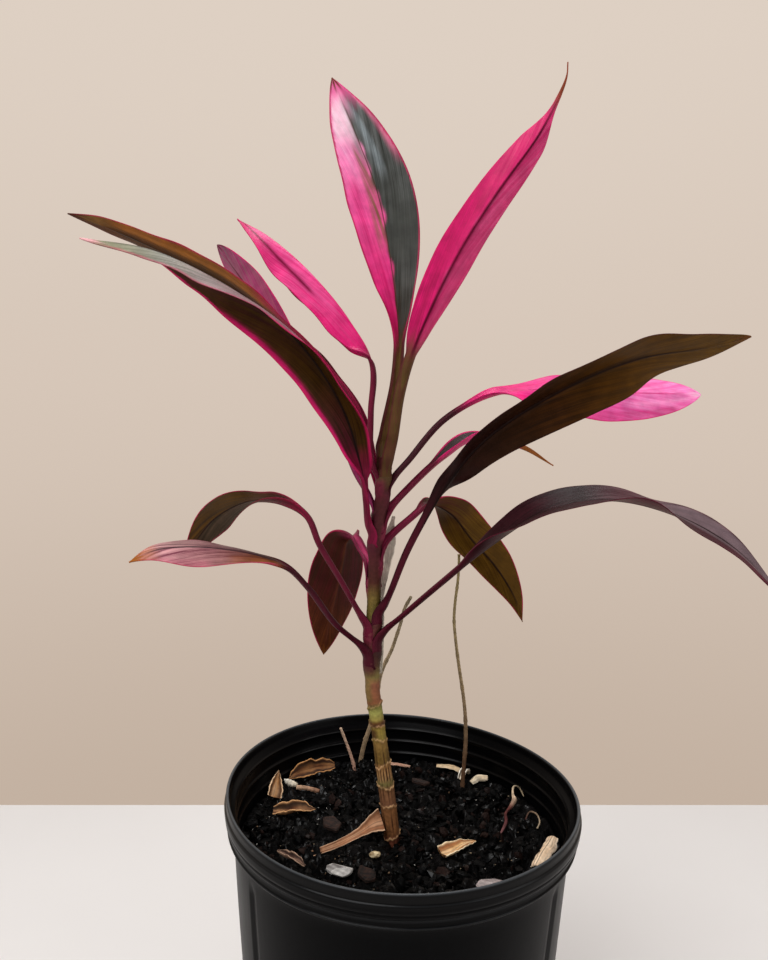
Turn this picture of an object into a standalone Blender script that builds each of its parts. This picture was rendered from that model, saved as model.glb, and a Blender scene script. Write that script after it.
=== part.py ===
"""A ti plant in a black nursery pot.

The origin is the centre of the pot's underside. +Z is up and -Y is the front, the side that
the leaves are described from: +X is to the right there. Lengths are in millimetres, angles in
degrees, and both are turned into metres and radians where a mesh is made.
"""
import math

import bmesh
import bpy
import numpy as np
from mathutils import Matrix
from mathutils.bvhtree import BVHTree

OBJECT_NAME = "ti_plant"
MM = 0.001
GAP = 0.3

# Pot: a 10 inch nursery container, a little squeezed out of round at its rim
POT_HEIGHT = 241
POT_SEGMENTS = 64
POT_WALL = 1.6
POT_FLOOR = 2.5
POT_INNER_FOOT = 5
POT_INNER_ROUND = 2
POT_BASE_RADIUS = 98.2
POT_WALL_TOP_RADIUS = 118.2
POT_WALL_TOP = 216
POT_FOOT_ROUND = 3
POT_SLEEVE = 10
POT_INNER_RINGS = (210, 220, 230)
POT_RING_RELIEF = 1.1
POT_RING_HALF_HEIGHT = 2
POT_SQUEEZE = -0.055
POT_SQUEEZE_TURN = 27
POT_TRIANGLE_SQUEEZE = 0.011
POT_GROOVE_TURNS = (-143, -37, 37, 143)
POT_GROOVE_SIZE = (3.6, 2.0, 196)
POT_GROOVE_DEPTH = 0.9
POT_GROOVE_MIDDLE = 108
POT_DRAIN_COUNT = 6
POT_DRAIN_RADIUS = 7
POT_DRAIN_CIRCLE = 97

# Soil
SOIL_LEVEL = 202
SOIL_RISE = 0.03
SOIL_RINGS = 9
SOIL_LUMP = 1.7
SOIL_GAP = 0.9
HOLE_HEIGHT = 80
HOLE_SIDES = 16

# Cane: the middle line from the soil up, the scar rings on it and its radius at a height
CANE_LINE = [(-3, -1, 160), (-3, -1, 200), (-6, -4, 227), (-8, -5, 243), (-12, -5, 274), (-17, -5, 309),
             (-17, -4, 344), (-16, -3, 367), (-15, -2, 410), (-12, -1, 427), (-9, 0, 456), (-8.5, 0, 470)]
CANE_RADII = [(160, 5.2), (204, 5.4), (250, 5.3), (275, 4.7), (300, 5.0), (345, 5.2), (380, 4.6), (470, 4.0)]
CANE_RINGS = (204, 227, 243, 257, 274, 286, 299)
CANE_RING_RELIEF = 0.7
CANE_RING_HALF_HEIGHT = 2.5
CANE_STEP = 14

# Leaves: how a leaf base clasps the cane, and the petiole's and the blade's own sizes
CLASP_HEIGHT = 5
CLASP_SPREAD = 75
CLASP_TO_PETIOLE = 8
CLASP_LEAN = 3.4
PETIOLE_HALF_ARC = 4.0
PETIOLE_CURL = 62
BLADE_CURL = 8
LEAF_ACROSS = 4
CLASP_STATIONS = 2
PETIOLE_STATIONS = 4
BLADE_STATIONS = 11
BLADE_WIDEST = 0.42
BLADE_TAPER = 1.9
TIP_HALF_WIDTH = 1.1
TIP_FLATTEN = 6
THICK_CLASP = 1.0
THICK_PETIOLE = 2.2
THICK_BLADE = 0.9
THICK_FADE = 30

HOT_PINK = (0.80, 0.06, 0.28)
MAGENTA = (0.55, 0.03, 0.16)
OLIVE = (0.06, 0.03, 0.015)
MAROON = (0.10, 0.02, 0.04)
DRY = (0.42, 0.26, 0.13)
PALE_DRY = (0.55, 0.50, 0.40)
BARK = (0.16, 0.07, 0.03)
STONE = (0.45, 0.42, 0.38)

# Each leaf: the height of its base on the cane and the side it sits on (0 right, 90 back), the way
# it heads, the length of its petiole, the blade's full width, the middle line above the clasp, and
# the blade's fold and roll, which are given at fractions of the leaf's length. Some leaves have their
# own clasp, widest place or taper instead of the common one.
LEAVES = {
    "leaf_top_left": {
        "base": (464, 100), "heading": 100, "petiole": 82, "width": 51, "colour": HOT_PINK,
        "widest": 0.54, "taper": 2.0,
        "line": [(-8, 9, 489), (-1, 10, 523), (1, 12, 558), (-5, 17, 610), (-13, 23, 652),
                 (-27, 29, 692), (-46, 34, 738)],
        "fold": [(0.3, 30), (0.6, 14), (1, 20)], "roll": [(0.3, 0), (1, 0)]},
    "leaf_top_right": {
        "base": (457, -72), "heading": -80, "petiole": 84, "width": 37, "colour": MAGENTA,
        "clasp": 45, "widest": 0.37,
        "line": [(-3, -9, 482), (2, -11, 513), (11, -14, 543), (38, -24, 600), (62, -31, 637),
                 (87, -37, 671), (99, -41, 694), (102.5, -42, 704), (103, -42, 712)],
        "fold": [(0.3, 45), (0.6, 45), (1, 30)], "roll": [(0.3, 0), (0.5, -8), (1, -8)]},
    "leaf_pink_left": {
        "base": (450, 195), "heading": 175, "petiole": 88, "width": 46, "colour": HOT_PINK,
        "clasp": 42, "widest": 0.5, "taper": 0.95,
        "line": [(-19, -1, 470), (-19, -1, 500), (-18, 0, 534), (-33, 4, 564), (-62, 11, 599),
                 (-90, 16, 623), (-111, 20, 635)],
        "fold": [(0.3, 45), (0.45, -60), (1, -68)], "roll": [(0.3, 0), (1, 0)]},
    "leaf_back_left": {
        "base": (428, 165), "heading": 165, "petiole": 85, "width": 31, "colour": MAGENTA,
        "clasp": 35, "widest": 0.62,
        "line": [(-29, 5, 458), (-38, 15, 478), (-58, 34, 513), (-86, 50, 555), (-109, 62, 592),
                 (-138, 76, 632)],
        "fold": [(0.3, 25), (1, 10)], "roll": [(0.3, 0), (0.6, 60), (1, 60)]},
    "leaf_long_left": {
        "base": (436, 105), "heading": 165, "petiole": 92, "width": 38, "colour": OLIVE,
        "clasp": 30, "widest": 0.52,
        "line": [(-18, 10, 468), (-26, 11, 500), (-48, 13, 530), (-84, 16, 564), (-117, 19, 590),
                 (-152, 21, 608), (-203, 23, 631), (-232, 25, 641)],
        "fold": [(0.3, 30), (0.5, 5), (1, 0)], "roll": [(0.3, 0), (0.5, 22), (1, 25)]},
    "leaf_near_left": {
        "base": (411, 200), "heading": 200, "petiole": 48, "width": 38, "colour": OLIVE,
        "taper": 1.35,
        "line": [(-22, -14, 440), (-25, -18, 466), (-36, -27, 503), (-62, -37, 543), (-93, -45, 568),
                 (-146, -54, 595), (-190, -60, 602)],
        "fold": [(0.2, 30), (0.4, 45), (1, 40)],
        "roll": [(0.08, 0), (0.25, -110), (0.4, -135), (0.6, -152), (0.76, -178), (0.88, -202), (1, -208)]},
    "leaf_large_right": {
        "base": (356, -25), "heading": -25, "petiole": 75, "width": 46, "colour": OLIVE,
        "widest": 0.6,
        "line": [(-3, -11, 380), (9, -15, 410), (36, -23, 458), (60, -28, 485), (106, -37, 515),
                 (150, -44, 533), (188, -50, 539), (214, -54, 545)],
        "fold": [(0.25, 40), (0.42, -42), (0.7, -42), (0.86, -10), (1, -8)],
        "roll": [(0.1, 0), (0.25, -10), (0.42, -45), (0.7, -45), (0.86, -30), (1, -28)]},
    "leaf_pink_right": {
        "base": (443, 20), "heading": 20, "petiole": 80, "width": 46, "colour": HOT_PINK,
        "widest": 0.6, "clasp": 50,
        "line": [(9, 8, 467), (34, 15, 495), (70, 26, 514), (106, 36, 518), (150, 48, 517),
                 (235, 66, 516)],
        "fold": [(0.3, 30), (0.5, -20), (1, -30)], "roll": [(0.3, 0), (0.6, 50), (1, 60)]},
    "leaf_curled_right": {
        "base": (420, 38), "heading": 38, "petiole": 60, "width": 20, "colour": HOT_PINK,
        "line": [(9, 13, 447), (34, 24, 469), (54, 32, 481), (76, 40, 480), (97, 46, 474),
                 (119, 52, 462)],
        "fold": [(0.3, 40), (1, 40)], "roll": [(0.3, 0), (1, 0)]},
    "leaf_hanging_right": {
        "base": (396, 42), "heading": 42, "petiole": 50, "width": 34, "colour": OLIVE,
        "line": [(11, 14, 426), (26, 26, 435), (40, 34, 428), (56, 42, 408), (76, 50, 385),
                 (91, 55, 361), (98, 57, 341)],
        "fold": [(0.3, 20), (1, 8)], "roll": [(0.3, 0), (0.5, -45), (1, -45)]},
    "leaf_arching_right": {
        "base": (337, -15), "heading": -15, "petiole": 85, "width": 40, "colour": MAROON,
        "line": [(6, -13, 364), (32, -20, 388), (56, -28, 410), (92, -38, 436), (130, -48, 445),
                 (165, -58, 438), (200, -68, 418), (228, -75, 388)],
        "fold": [(0.3, 30), (0.5, 10), (1, 8)],
        "roll": [(0.3, 0), (0.45, 20), (0.58, 14), (0.69, -2), (0.82, 28), (1, 30)]},
    "leaf_arching_left": {
        "base": (347, 195), "heading": 195, "petiole": 92, "width": 30, "colour": OLIVE,
        "widest": 0.56,
        "line": [(-38, -13, 385), (-53, -18, 412), (-61, -20, 431), (-76, -20, 440), (-98, -18, 441),
                 (-121, -14, 430), (-135, -13, 414), (-142, -12, 402)],
        "fold": [(0.3, 25), (0.55, 32), (0.7, 0), (1, 0)],
        "roll": [(0.5, 0), (0.64, -10), (0.8, -40), (1, -46)]},
    "leaf_lowest_left": {
        "base": (327, 205), "heading": 205, "petiole": 96, "width": 27, "colour": MAROON,
        "widest": 0.58, "taper": 2.9,
        "line": [(-43, -16, 358), (-60, -24, 384), (-73, -30, 399), (-90, -38, 408), (-108, -45, 413),
                 (-130, -54, 416), (-148, -62, 415), (-162, -68, 409)],
        "fold": [(0.3, 25), (0.6, -30), (1, -30)], "roll": [(0.3, 0), (0.6, -30), (1, -30)]},
    "leaf_hanging_left": {
        "base": (382, 115), "heading": 115, "petiole": 40, "width": 45, "colour": OLIVE,
        "taper": 1.6,
        "line": [(-25, 15, 403), (-31, 24, 411), (-37, 33, 407), (-40, 38, 391), (-45, 42, 368),
                 (-51, 44, 341), (-55, 45, 319)],
        "fold": [(0.3, 20), (1, 8)], "roll": [(0.3, 0), (1, 0)]},
}

# Dead twigs that stand in the soil: their line, and the radius at the foot and at the end
TWIGS = {
    "twig_tall": {
        "radii": (1.7, 1.2), "colour": DRY,
        "line": [(54, 70, 165), (54, 70, 190), (54, 70, 207), (56, 68, 242), (56, 67, 262), (55, 66, 276),
                 (52, 65, 296), (49, 64, 310), (47, 63, 325), (48.5, 62, 328), (46, 62, 340), (47, 61, 353),
                 (49, 60, 356), (48, 60, 371), (50.5, 60, 375), (48, 60, 393)]},
    "twig_bent": {
        "radii": (2.4, 1.4), "colour": DRY,
        "line": [(-29, 107, 165), (-29, 107, 190), (-29, 107, 207), (-25, 100, 228), (-20, 94, 245),
                 (-15, 86, 270), (-12, 78, 291), (-9, 74, 301), (-3, 70, 315), (1, 66, 328), (4, 64, 338),
                 (7, 62, 350), (12, 60, 360)]},
    "twig_broken": {
        "radii": (1.6, 1.2), "colour": PALE_DRY,
        "line": [(-34, 98, 170), (-34, 98, 190), (-34, 98, 206), (-36, 97, 215), (-40, 95, 228),
                 (-45, 94, 242)]},
}

# Ribbons of dried leaf: the way they head, the curl of a half, and a line whose heights are above
# the soil, with the half width at each of its points
CURLS = {
    "curl_back_left": {
        "heading": 20, "curl": -70, "colour": DRY, "halves": [4, 8, 9, 6],
        "line": [(-84, 74, 2), (-76, 81, 9), (-65, 87, 12), (-53, 90, 9)]},
    "curl_left": {
        "heading": 0, "curl": 85, "colour": DRY, "halves": [3, 6, 7, 5],
        "line": [(-91, 28, 2), (-82, 31, 4), (-72, 30, 5), (-62, 26, 2)]},
    "curl_front_left": {
        "heading": -35, "curl": 110, "colour": DRY, "halves": [1.6, 4, 4, 1.6],
        "line": [(-81, -22, 2), (-74, -28, 4), (-67, -34, 4), (-61, -38, 1)]},
    "dry_leaf_right": {
        "heading": 30, "curl": -45, "colour": DRY, "halves": [7, 6.5, 4, 1.2],
        "line": [(31, -25, 2), (38, -21, 5), (45, -17, 5), (53, -12, 3)]},
    "white_curl_near": {
        "heading": 60, "curl": 90, "colour": PALE_DRY, "halves": [1.4, 2.6, 1.4],
        "line": [(53, 79, 2), (57, 84, 5), (60, 88, 2)]},
    "white_curl_far": {
        "heading": 10, "curl": 90, "colour": PALE_DRY, "halves": [1.4, 2.8, 1.4],
        "line": [(61, 73, 2), (67, 75, 5), (74, 73, 2)]},
    "tan_strip": {
        "heading": -30, "curl": -50, "colour": PALE_DRY, "halves": [1.6, 3, 1.6],
        "line": [(37, 100, 2), (47, 98, 5), (57, 91, 2)]},
    "thin_strip": {
        "heading": -25, "curl": -60, "colour": PALE_DRY, "halves": [1.4, 2, 1.4],
        "line": [(-6, 108, 1), (2, 105, 4), (11, 100, 1)]},
}

# Flat chips: the corners, the thickness and the tilt about their own middle
CHIPS = {
    "chip_triangle": {
        "thick": 2.2, "tilt": (38, -14), "colour": DRY,
        "corners": [(-99, 47), (-87, 47), (-89, 57), (-95, 64)]},
    "chip_bark": {
        "thick": 4, "tilt": (12, 8), "colour": BARK,
        "corners": [(-25, -43), (-15, -46), (-14, -53), (-20, -56), (-26, -50)]},
    "chip_wood": {
        "thick": 6, "tilt": (14, -16), "colour": DRY,
        "corners": [(88, -40), (94, -46), (103, -36), (109, -18), (104, -11), (97, -20)]},
    "chip_back": {
        "thick": 3, "tilt": (-14, 10), "colour": BARK,
        "corners": [(14, 66), (24, 62), (28, 68), (20, 75), (13, 72)]},
    "chip_left": {
        "thick": 3.5, "tilt": (16, 12), "colour": BARK,
        "corners": [(-52, 2), (-42, -1), (-39, 7), (-46, 13), (-53, 10)]},
}

# Pebbles: the middle, the half sizes and the turn
PEBBLES = {
    "pebble_quartz": {"place": (-38, -44), "half": (9.5, 5.4, 4.6), "turn": -4, "colour": STONE},
    "pebble_grey": {"place": (58, -60), "half": (10.5, 6, 3.6), "turn": 14, "colour": STONE},
    "pebble_pale": {"place": (-15, -27), "half": (4, 2.6, 2.2), "turn": 10, "colour": PALE_DRY},
}

# Thin stalks and dry roots that lie on the soil: the radius and a line with heights above the soil
STALKS = {
    "stub": {"radius": 2.4, "colour": PALE_DRY, "line": [(-88, 72, 3), (-84, 69, 3), (-79, 66, 3)]},
    "stalk_left": {"radius": 1.6, "colour": DRY, "line": [(-77, 62, 2), (-70, 61, 3), (-61, 58, 2)]},
    "root_long": {
        "radius": 1.1, "colour": PALE_DRY,
        "line": [(94, 51, 2), (95, 44, 6), (92, 34, 8), (86, 22, 6), (81, 11, 3), (77, 2, 2)]},
    "root_short": {
        "radius": 1.0, "colour": PALE_DRY,
        "line": [(95, 20, 2), (99, 25, 5), (103, 20, 6), (104, 13, 4), (101, 7, 2)]},
}

# A dried leaf base that hangs behind the cane, against a petiole, and a dried petiole that lies on the
# soil with its wide end against the cane
STRIP_LINE = [(-2, 19, 428), (-4, 19, 418), (-6, 18, 397), (-9, 17, 381), (-11, 16, 366),
              (-11, 16, 345), (-11, 16, 316)]
STRIP_HALF_WIDTHS = [1.2, 4.2, 2.2, 1.6, 2.4, 1.8, 0.9]
STRIP_HEADING = 90
STRIP_CURL = 25
STRIP_WAY = (0, -1, 0)
STRIP_GAP = 0.6
SHEATH_LINE = [(-10, -12, 221), (-16, -13, 219), (-26, -16, 214), (-38, -20, 208), (-50, -24, 204)]
SHEATH_HALF_WIDTHS = [6, 4.4, 3.2, 2.8, 1.6]
SHEATH_HEADING = 205
SHEATH_CURL = 35
SHEATH_ROLL = -50
SHEATH_WAY = (0, 1, 0)
RIBBON_STATIONS = 8
THICK_DRY = 0.8

# How litter is put down: where it starts above the soil, the ray's run-up and the gap that is left
CHIP_RISE = 12
PEBBLE_WAVE = 0.06
FAR = 0.05
SEAT_GAP = 0.35
DOWN = (0, 0, -1)


def metres(*values):
    """Millimetres as metres."""
    return tuple(value * MM for value in values)


def clear_scene():
    """Empties the file, so that the object stands alone."""
    for thing in list(bpy.data.objects):
        bpy.data.objects.remove(thing, do_unlink=True)


def collection(name):
    """A new collection in the scene."""
    made = bpy.data.collections.new(name)
    bpy.context.scene.collection.children.link(made)
    return made


def material(name, colour, roughness, metallic=0.0):
    """A plain finish with a colour, a roughness and a metallic value."""
    made = bpy.data.materials.new(name)
    made.use_nodes = True
    shader = made.node_tree.nodes["Principled BSDF"]
    shader.inputs["Base Color"].default_value = (*colour, 1)
    shader.inputs["Roughness"].default_value = roughness
    shader.inputs["Metallic"].default_value = metallic
    return made


def mesh_object(name, mesh, home):
    """An object for a mesh, put in a collection."""
    made = bpy.data.objects.new(name, mesh)
    home.objects.link(made)
    return made


def finish(thing, colour, roughness=0.5):
    """Gives an object its own material and smooth shading with sharp edges kept."""
    thing.data.materials.clear()
    thing.data.materials.append(material(thing.name, colour, roughness))
    if thing.type == "MESH":
        thing.data.shade_smooth()
        thing.data.set_sharp_from_angle(angle=math.radians(40))
    return thing


def as_mesh(thing):
    """Replaces an object by one whose modifiers are applied, its doubles welded and its place kept."""
    bpy.context.view_layer.update()
    evaluated = thing.evaluated_get(bpy.context.evaluated_depsgraph_get())
    mesh = bpy.data.meshes.new_from_object(evaluated)
    form = bmesh.new()
    form.from_mesh(mesh)
    bmesh.ops.remove_doubles(form, verts=form.verts, dist=0.00001)
    form.to_mesh(mesh)
    form.free()
    name, home, place = thing.name, thing.users_collection[0], thing.matrix_world.copy()
    bpy.data.objects.remove(thing, do_unlink=True)
    made = mesh_object(name, mesh, home)
    made.matrix_world = place
    return made


def move_vertices(mesh, formula):
    """Moves every vertex of a mesh by a formula on an array of points in millimetres."""
    places = np.empty(len(mesh.vertices) * 3)
    mesh.vertices.foreach_get("co", places)
    moved = formula(places.reshape(-1, 3) / MM) * MM
    mesh.vertices.foreach_set("co", moved.ravel())
    mesh.update()


def turned(name, profile, home):
    """A closed body of revolution from a profile of (radius, height) points."""
    mesh = bpy.data.meshes.new(name)
    points = [metres(radius, 0, height) for radius, height in profile]
    mesh.from_pydata(points, [(i, i + 1) for i in range(len(points) - 1)], [])
    made = mesh_object(name, mesh, home)
    screw = made.modifiers.new("turn", "SCREW")
    screw.steps = POT_SEGMENTS
    screw.render_steps = POT_SEGMENTS
    screw.use_merge_vertices = True
    screw.merge_threshold = 0.00001
    return made


def subtract(thing, cutter):
    """Cuts one object from another and keeps the cutter as a wire guide."""
    cut = thing.modifiers.new("cut", "BOOLEAN")
    cut.operation = "DIFFERENCE"
    cut.solver = "EXACT"
    cut.object = cutter
    cutter.hide_render = True
    cutter.display_type = "WIRE"


def out_of_round(points):
    """The pot's squeeze: the radius grows and shrinks twice, and a little three times, round the rim.

    It fades to nothing at the foot, with the square of the height.
    """
    turn = np.arctan2(points[:, 1], points[:, 0])
    fade = np.clip(points[:, 2] / POT_HEIGHT, 0, 1) ** 2
    twice = POT_SQUEEZE * np.cos(2 * (turn - math.radians(POT_SQUEEZE_TURN)))
    three = POT_TRIANGLE_SQUEEZE * np.cos(3 * turn)
    stretch = 1 + fade * (twice + three)
    return points * np.stack([stretch, stretch, np.ones_like(stretch)], 1)


def pot_outer_radius(height):
    """The radius of the tapered wall's outside at a height."""
    share = (height - POT_FOOT_ROUND) / (POT_WALL_TOP - POT_FOOT_ROUND)
    return POT_BASE_RADIUS + share * (POT_WALL_TOP_RADIUS - POT_BASE_RADIUS)


def pot_inner_radius(height):
    """The radius of the tapered wall's inside at a height."""
    return pot_outer_radius(height) - POT_WALL


def pot_profile():
    """Up the inside past the stacking rings, over the rolled lip and down the band and the wall."""
    profile = [(0, POT_FLOOR), (pot_inner_radius(POT_FLOOR) - POT_INNER_ROUND, POT_FLOOR),
               (pot_inner_radius(POT_INNER_FOOT), POT_INNER_FOOT), (pot_inner_radius(POT_SLEEVE), POT_SLEEVE)]
    for height in POT_INNER_RINGS:
        for rise, relief in ((-POT_RING_HALF_HEIGHT, 0), (0, POT_RING_RELIEF), (POT_RING_HALF_HEIGHT, 0)):
            profile.append((pot_inner_radius(height + rise) - relief, height + rise))
    lip = [(122.8, 239.8), (123.8, 241), (125.4, 240.9), (126.3, 239.4), (125.9, 237.6), (124.7, 236.8)]
    band = [(124.0, 226.6), (122.6, 225.4), (121.8, 220.6), (120.7, 219.4)]
    wall = [(POT_WALL_TOP_RADIUS, POT_WALL_TOP), (POT_BASE_RADIUS, POT_FOOT_ROUND)]
    foot = [(POT_BASE_RADIUS - 0.9, 0.9), (POT_BASE_RADIUS - 2.8, 0), (0, 0)]
    return profile + lip + band + wall + foot


def groove_cutter(turn, cutters):
    """A long thin box, sunk into the tapered wall's outside at an angle round the pot."""
    bpy.ops.mesh.primitive_cube_add(size=1)
    made = bpy.context.object
    made.name = f"groove_cutter_{turn}"
    width, depth, length = POT_GROOVE_SIZE
    made.scale = metres(depth, width, length)
    rise = POT_WALL_TOP - POT_FOOT_ROUND
    lean = math.atan2(POT_WALL_TOP_RADIUS - POT_BASE_RADIUS, rise)
    out = pot_outer_radius(POT_GROOVE_MIDDLE) + depth / 2 - POT_GROOVE_DEPTH
    around = math.radians(turn)
    made.location = metres(out * math.cos(around), out * math.sin(around), POT_GROOVE_MIDDLE)
    made.rotation_euler = (0, lean, around)
    for home in made.users_collection:
        home.objects.unlink(made)
    cutters.objects.link(made)
    return made


def post_cutter(name, place, radius, height, cutters):
    """An upright cylinder that stands on a place."""
    bpy.ops.mesh.primitive_cylinder_add(vertices=HOLE_SIDES, radius=radius * MM, depth=height * MM)
    made = bpy.context.object
    made.name = name
    made.location = metres(place[0], place[1], place[2] + height / 2)
    for home in made.users_collection:
        home.objects.unlink(made)
    cutters.objects.link(made)
    return made


def make_pot(home, cutters):
    """The moulded pot, with its grooves and drain holes cut and then squeezed out of round."""
    pot = turned("pot", pot_profile(), home)
    for turn in POT_GROOVE_TURNS:
        subtract(pot, groove_cutter(turn, cutters))
    for index in range(POT_DRAIN_COUNT):
        around = 2 * math.pi * (index + 0.5) / POT_DRAIN_COUNT
        place = (POT_DRAIN_CIRCLE * math.cos(around), POT_DRAIN_CIRCLE * math.sin(around), -POT_DRAIN_RADIUS)
        drain = post_cutter(f"drain_cutter_{index}", place, POT_DRAIN_RADIUS, 2 * POT_DRAIN_RADIUS, cutters)
        subtract(pot, drain)
    pot = as_mesh(pot)
    move_vertices(pot.data, out_of_round)
    return finish(pot, (0.008, 0.008, 0.009), 0.35)


def soil_height(x, y):
    """The height of the soil: a slope that rises to the back, with three crossing sets of lumps."""
    lumps = np.sin(x / 7.1 + 1.3 * np.sin(y / 11)) * np.cos(y / 8.3 + 0.4)
    lumps = lumps + 0.6 * np.sin((x + y) / 5.7 + 2) + 0.5 * np.cos((x - 1.4 * y) / 9.1)
    edge = np.clip((112 - np.hypot(x, y)) / 25, 0, 1)
    return SOIL_LEVEL + SOIL_RISE * y + SOIL_LUMP * edge * lumps


def make_soil(home, cutters, stems):
    """The potting mix, just inside the pot, with a plain hole for each stem that stands in it."""
    top = SOIL_LEVEL
    outer = pot_inner_radius(top) - SOIL_GAP
    floor = POT_FLOOR + GAP
    profile = [(0, top)] + [(outer * ring / SOIL_RINGS, top) for ring in range(1, SOIL_RINGS + 1)]
    profile += [(pot_inner_radius(height) - SOIL_GAP, height) for height in (POT_SLEEVE, POT_INNER_FOOT)]
    profile += [(pot_inner_radius(floor) - POT_INNER_ROUND - SOIL_GAP, floor), (0, floor)]
    soil = as_mesh(turned("soil", profile, home))

    def shape(points):
        """The pot's squeeze for the whole body, and the slope and the lumps for its top alone."""
        squeezed = out_of_round(points)
        on_top = points[:, 2] > top - 1
        height = np.where(on_top, soil_height(squeezed[:, 0], squeezed[:, 1]), points[:, 2])
        taper = np.where(on_top, pot_inner_radius(height) / pot_inner_radius(top), 1)
        return np.stack([squeezed[:, 0] * taper, squeezed[:, 1] * taper, height], 1)

    move_vertices(soil.data, shape)
    for name, (x, y, foot, radius) in stems.items():
        hole = post_cutter(f"{name}_hole", (x, y, foot - GAP), radius + 2 * GAP, HOLE_HEIGHT, cutters)
        subtract(soil, hole)
    return finish(as_mesh(soil), (0.02, 0.014, 0.01), 0.9)


def smooth_line(points, steps=12):
    """A Catmull-Rom curve through points, as a dense line; the steps of each span are the same in number."""
    knots = np.array(points, float)
    knots = np.vstack([2 * knots[0] - knots[1], knots, 2 * knots[-1] - knots[-2]])
    gaps = np.sqrt(np.linalg.norm(np.diff(knots, axis=0), axis=1))
    when = np.concatenate([[0], np.cumsum(gaps)])
    line = []
    for i in range(1, len(knots) - 2):
        t = np.linspace(when[i], when[i + 1], steps, endpoint=False)[:, None]
        t0, t1, t2, t3 = when[i - 1:i + 3]
        p0, p1, p2, p3 = knots[i - 1:i + 3]
        a1 = ((t1 - t) * p0 + (t - t0) * p1) / (t1 - t0)
        a2 = ((t2 - t) * p1 + (t - t1) * p2) / (t2 - t1)
        a3 = ((t3 - t) * p2 + (t - t2) * p3) / (t3 - t2)
        b1 = ((t2 - t) * a1 + (t - t0) * a2) / (t2 - t0)
        b2 = ((t3 - t) * a2 + (t - t1) * a3) / (t3 - t1)
        line.append(((t2 - t) * b1 + (t - t1) * b2) / (t2 - t1))
    line.append(knots[-2][None, :])
    return np.vstack(line)


def at_distances(line, distances):
    """The points of a line at distances from its start."""
    run = np.concatenate([[0], np.cumsum(np.linalg.norm(np.diff(line, axis=0), axis=1))])
    return np.stack([np.interp(distances, run, line[:, axis]) for axis in range(3)], 1)


def length_of(line):
    """The length of a line."""
    return float(np.linalg.norm(np.diff(line, axis=0), axis=1).sum())


def eased(where, knots):
    """A value that eases smoothly from knot to knot; knots are (place, value) pairs."""
    places, values = np.array(knots, float).T
    where = np.clip(where, places[0], places[-1])
    span = np.clip(np.searchsorted(places, where, side="right") - 1, 0, len(places) - 2)
    share = (where - places[span]) / (places[span + 1] - places[span])
    return values[span] + (values[span + 1] - values[span]) * share * share * (3 - 2 * share)


def cane_point(height):
    """The cane's middle at a height."""
    across, along, up = np.array(CANE_LINE, float).T
    return np.array([np.interp(height, up, across), np.interp(height, up, along), height])


def cane_radius(height):
    """The cane's radius at a height, with a low ring at each leaf scar."""
    places, radii = np.array(CANE_RADII, float).T
    radius = np.interp(height, places, radii)
    for ring in CANE_RINGS:
        radius = radius + CANE_RING_RELIEF * np.clip(1 - np.abs(height - ring) / CANE_RING_HALF_HEIGHT, 0, 1)
    return radius


def tube(name, line, radii, home, sides=4):
    """A curve through points, with its own radius at each of them and closed ends."""
    curve = bpy.data.curves.new(name, "CURVE")
    curve.dimensions = "3D"
    curve.bevel_depth = MM
    curve.bevel_resolution = sides // 2 - 2
    curve.use_fill_caps = True
    spline = curve.splines.new("POLY")
    spline.points.add(len(line) - 1)
    for point, place, radius in zip(spline.points, line, radii):
        point.co = (*metres(*place), 1)
        point.radius = radius
    made = bpy.data.objects.new(name, curve)
    home.objects.link(made)
    return as_mesh(made)


def make_cane(home):
    """The cane, with points close together at its scar rings."""
    heights = set(np.arange(CANE_LINE[0][2], CANE_LINE[-1][2], CANE_STEP).tolist()) | {CANE_LINE[-1][2]}
    for ring in CANE_RINGS:
        near = {h for h in heights if abs(h - ring) < CANE_RING_HALF_HEIGHT + 3}
        heights = (heights - near) | {ring - CANE_RING_HALF_HEIGHT, ring, ring + CANE_RING_HALF_HEIGHT}
    heights = sorted(heights)
    line = [cane_point(height) for height in heights]
    radii = [cane_radius(height) for height in heights]
    return finish(tube("cane", line, radii, home, 12), (0.28, 0.19, 0.08), 0.6)


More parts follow.
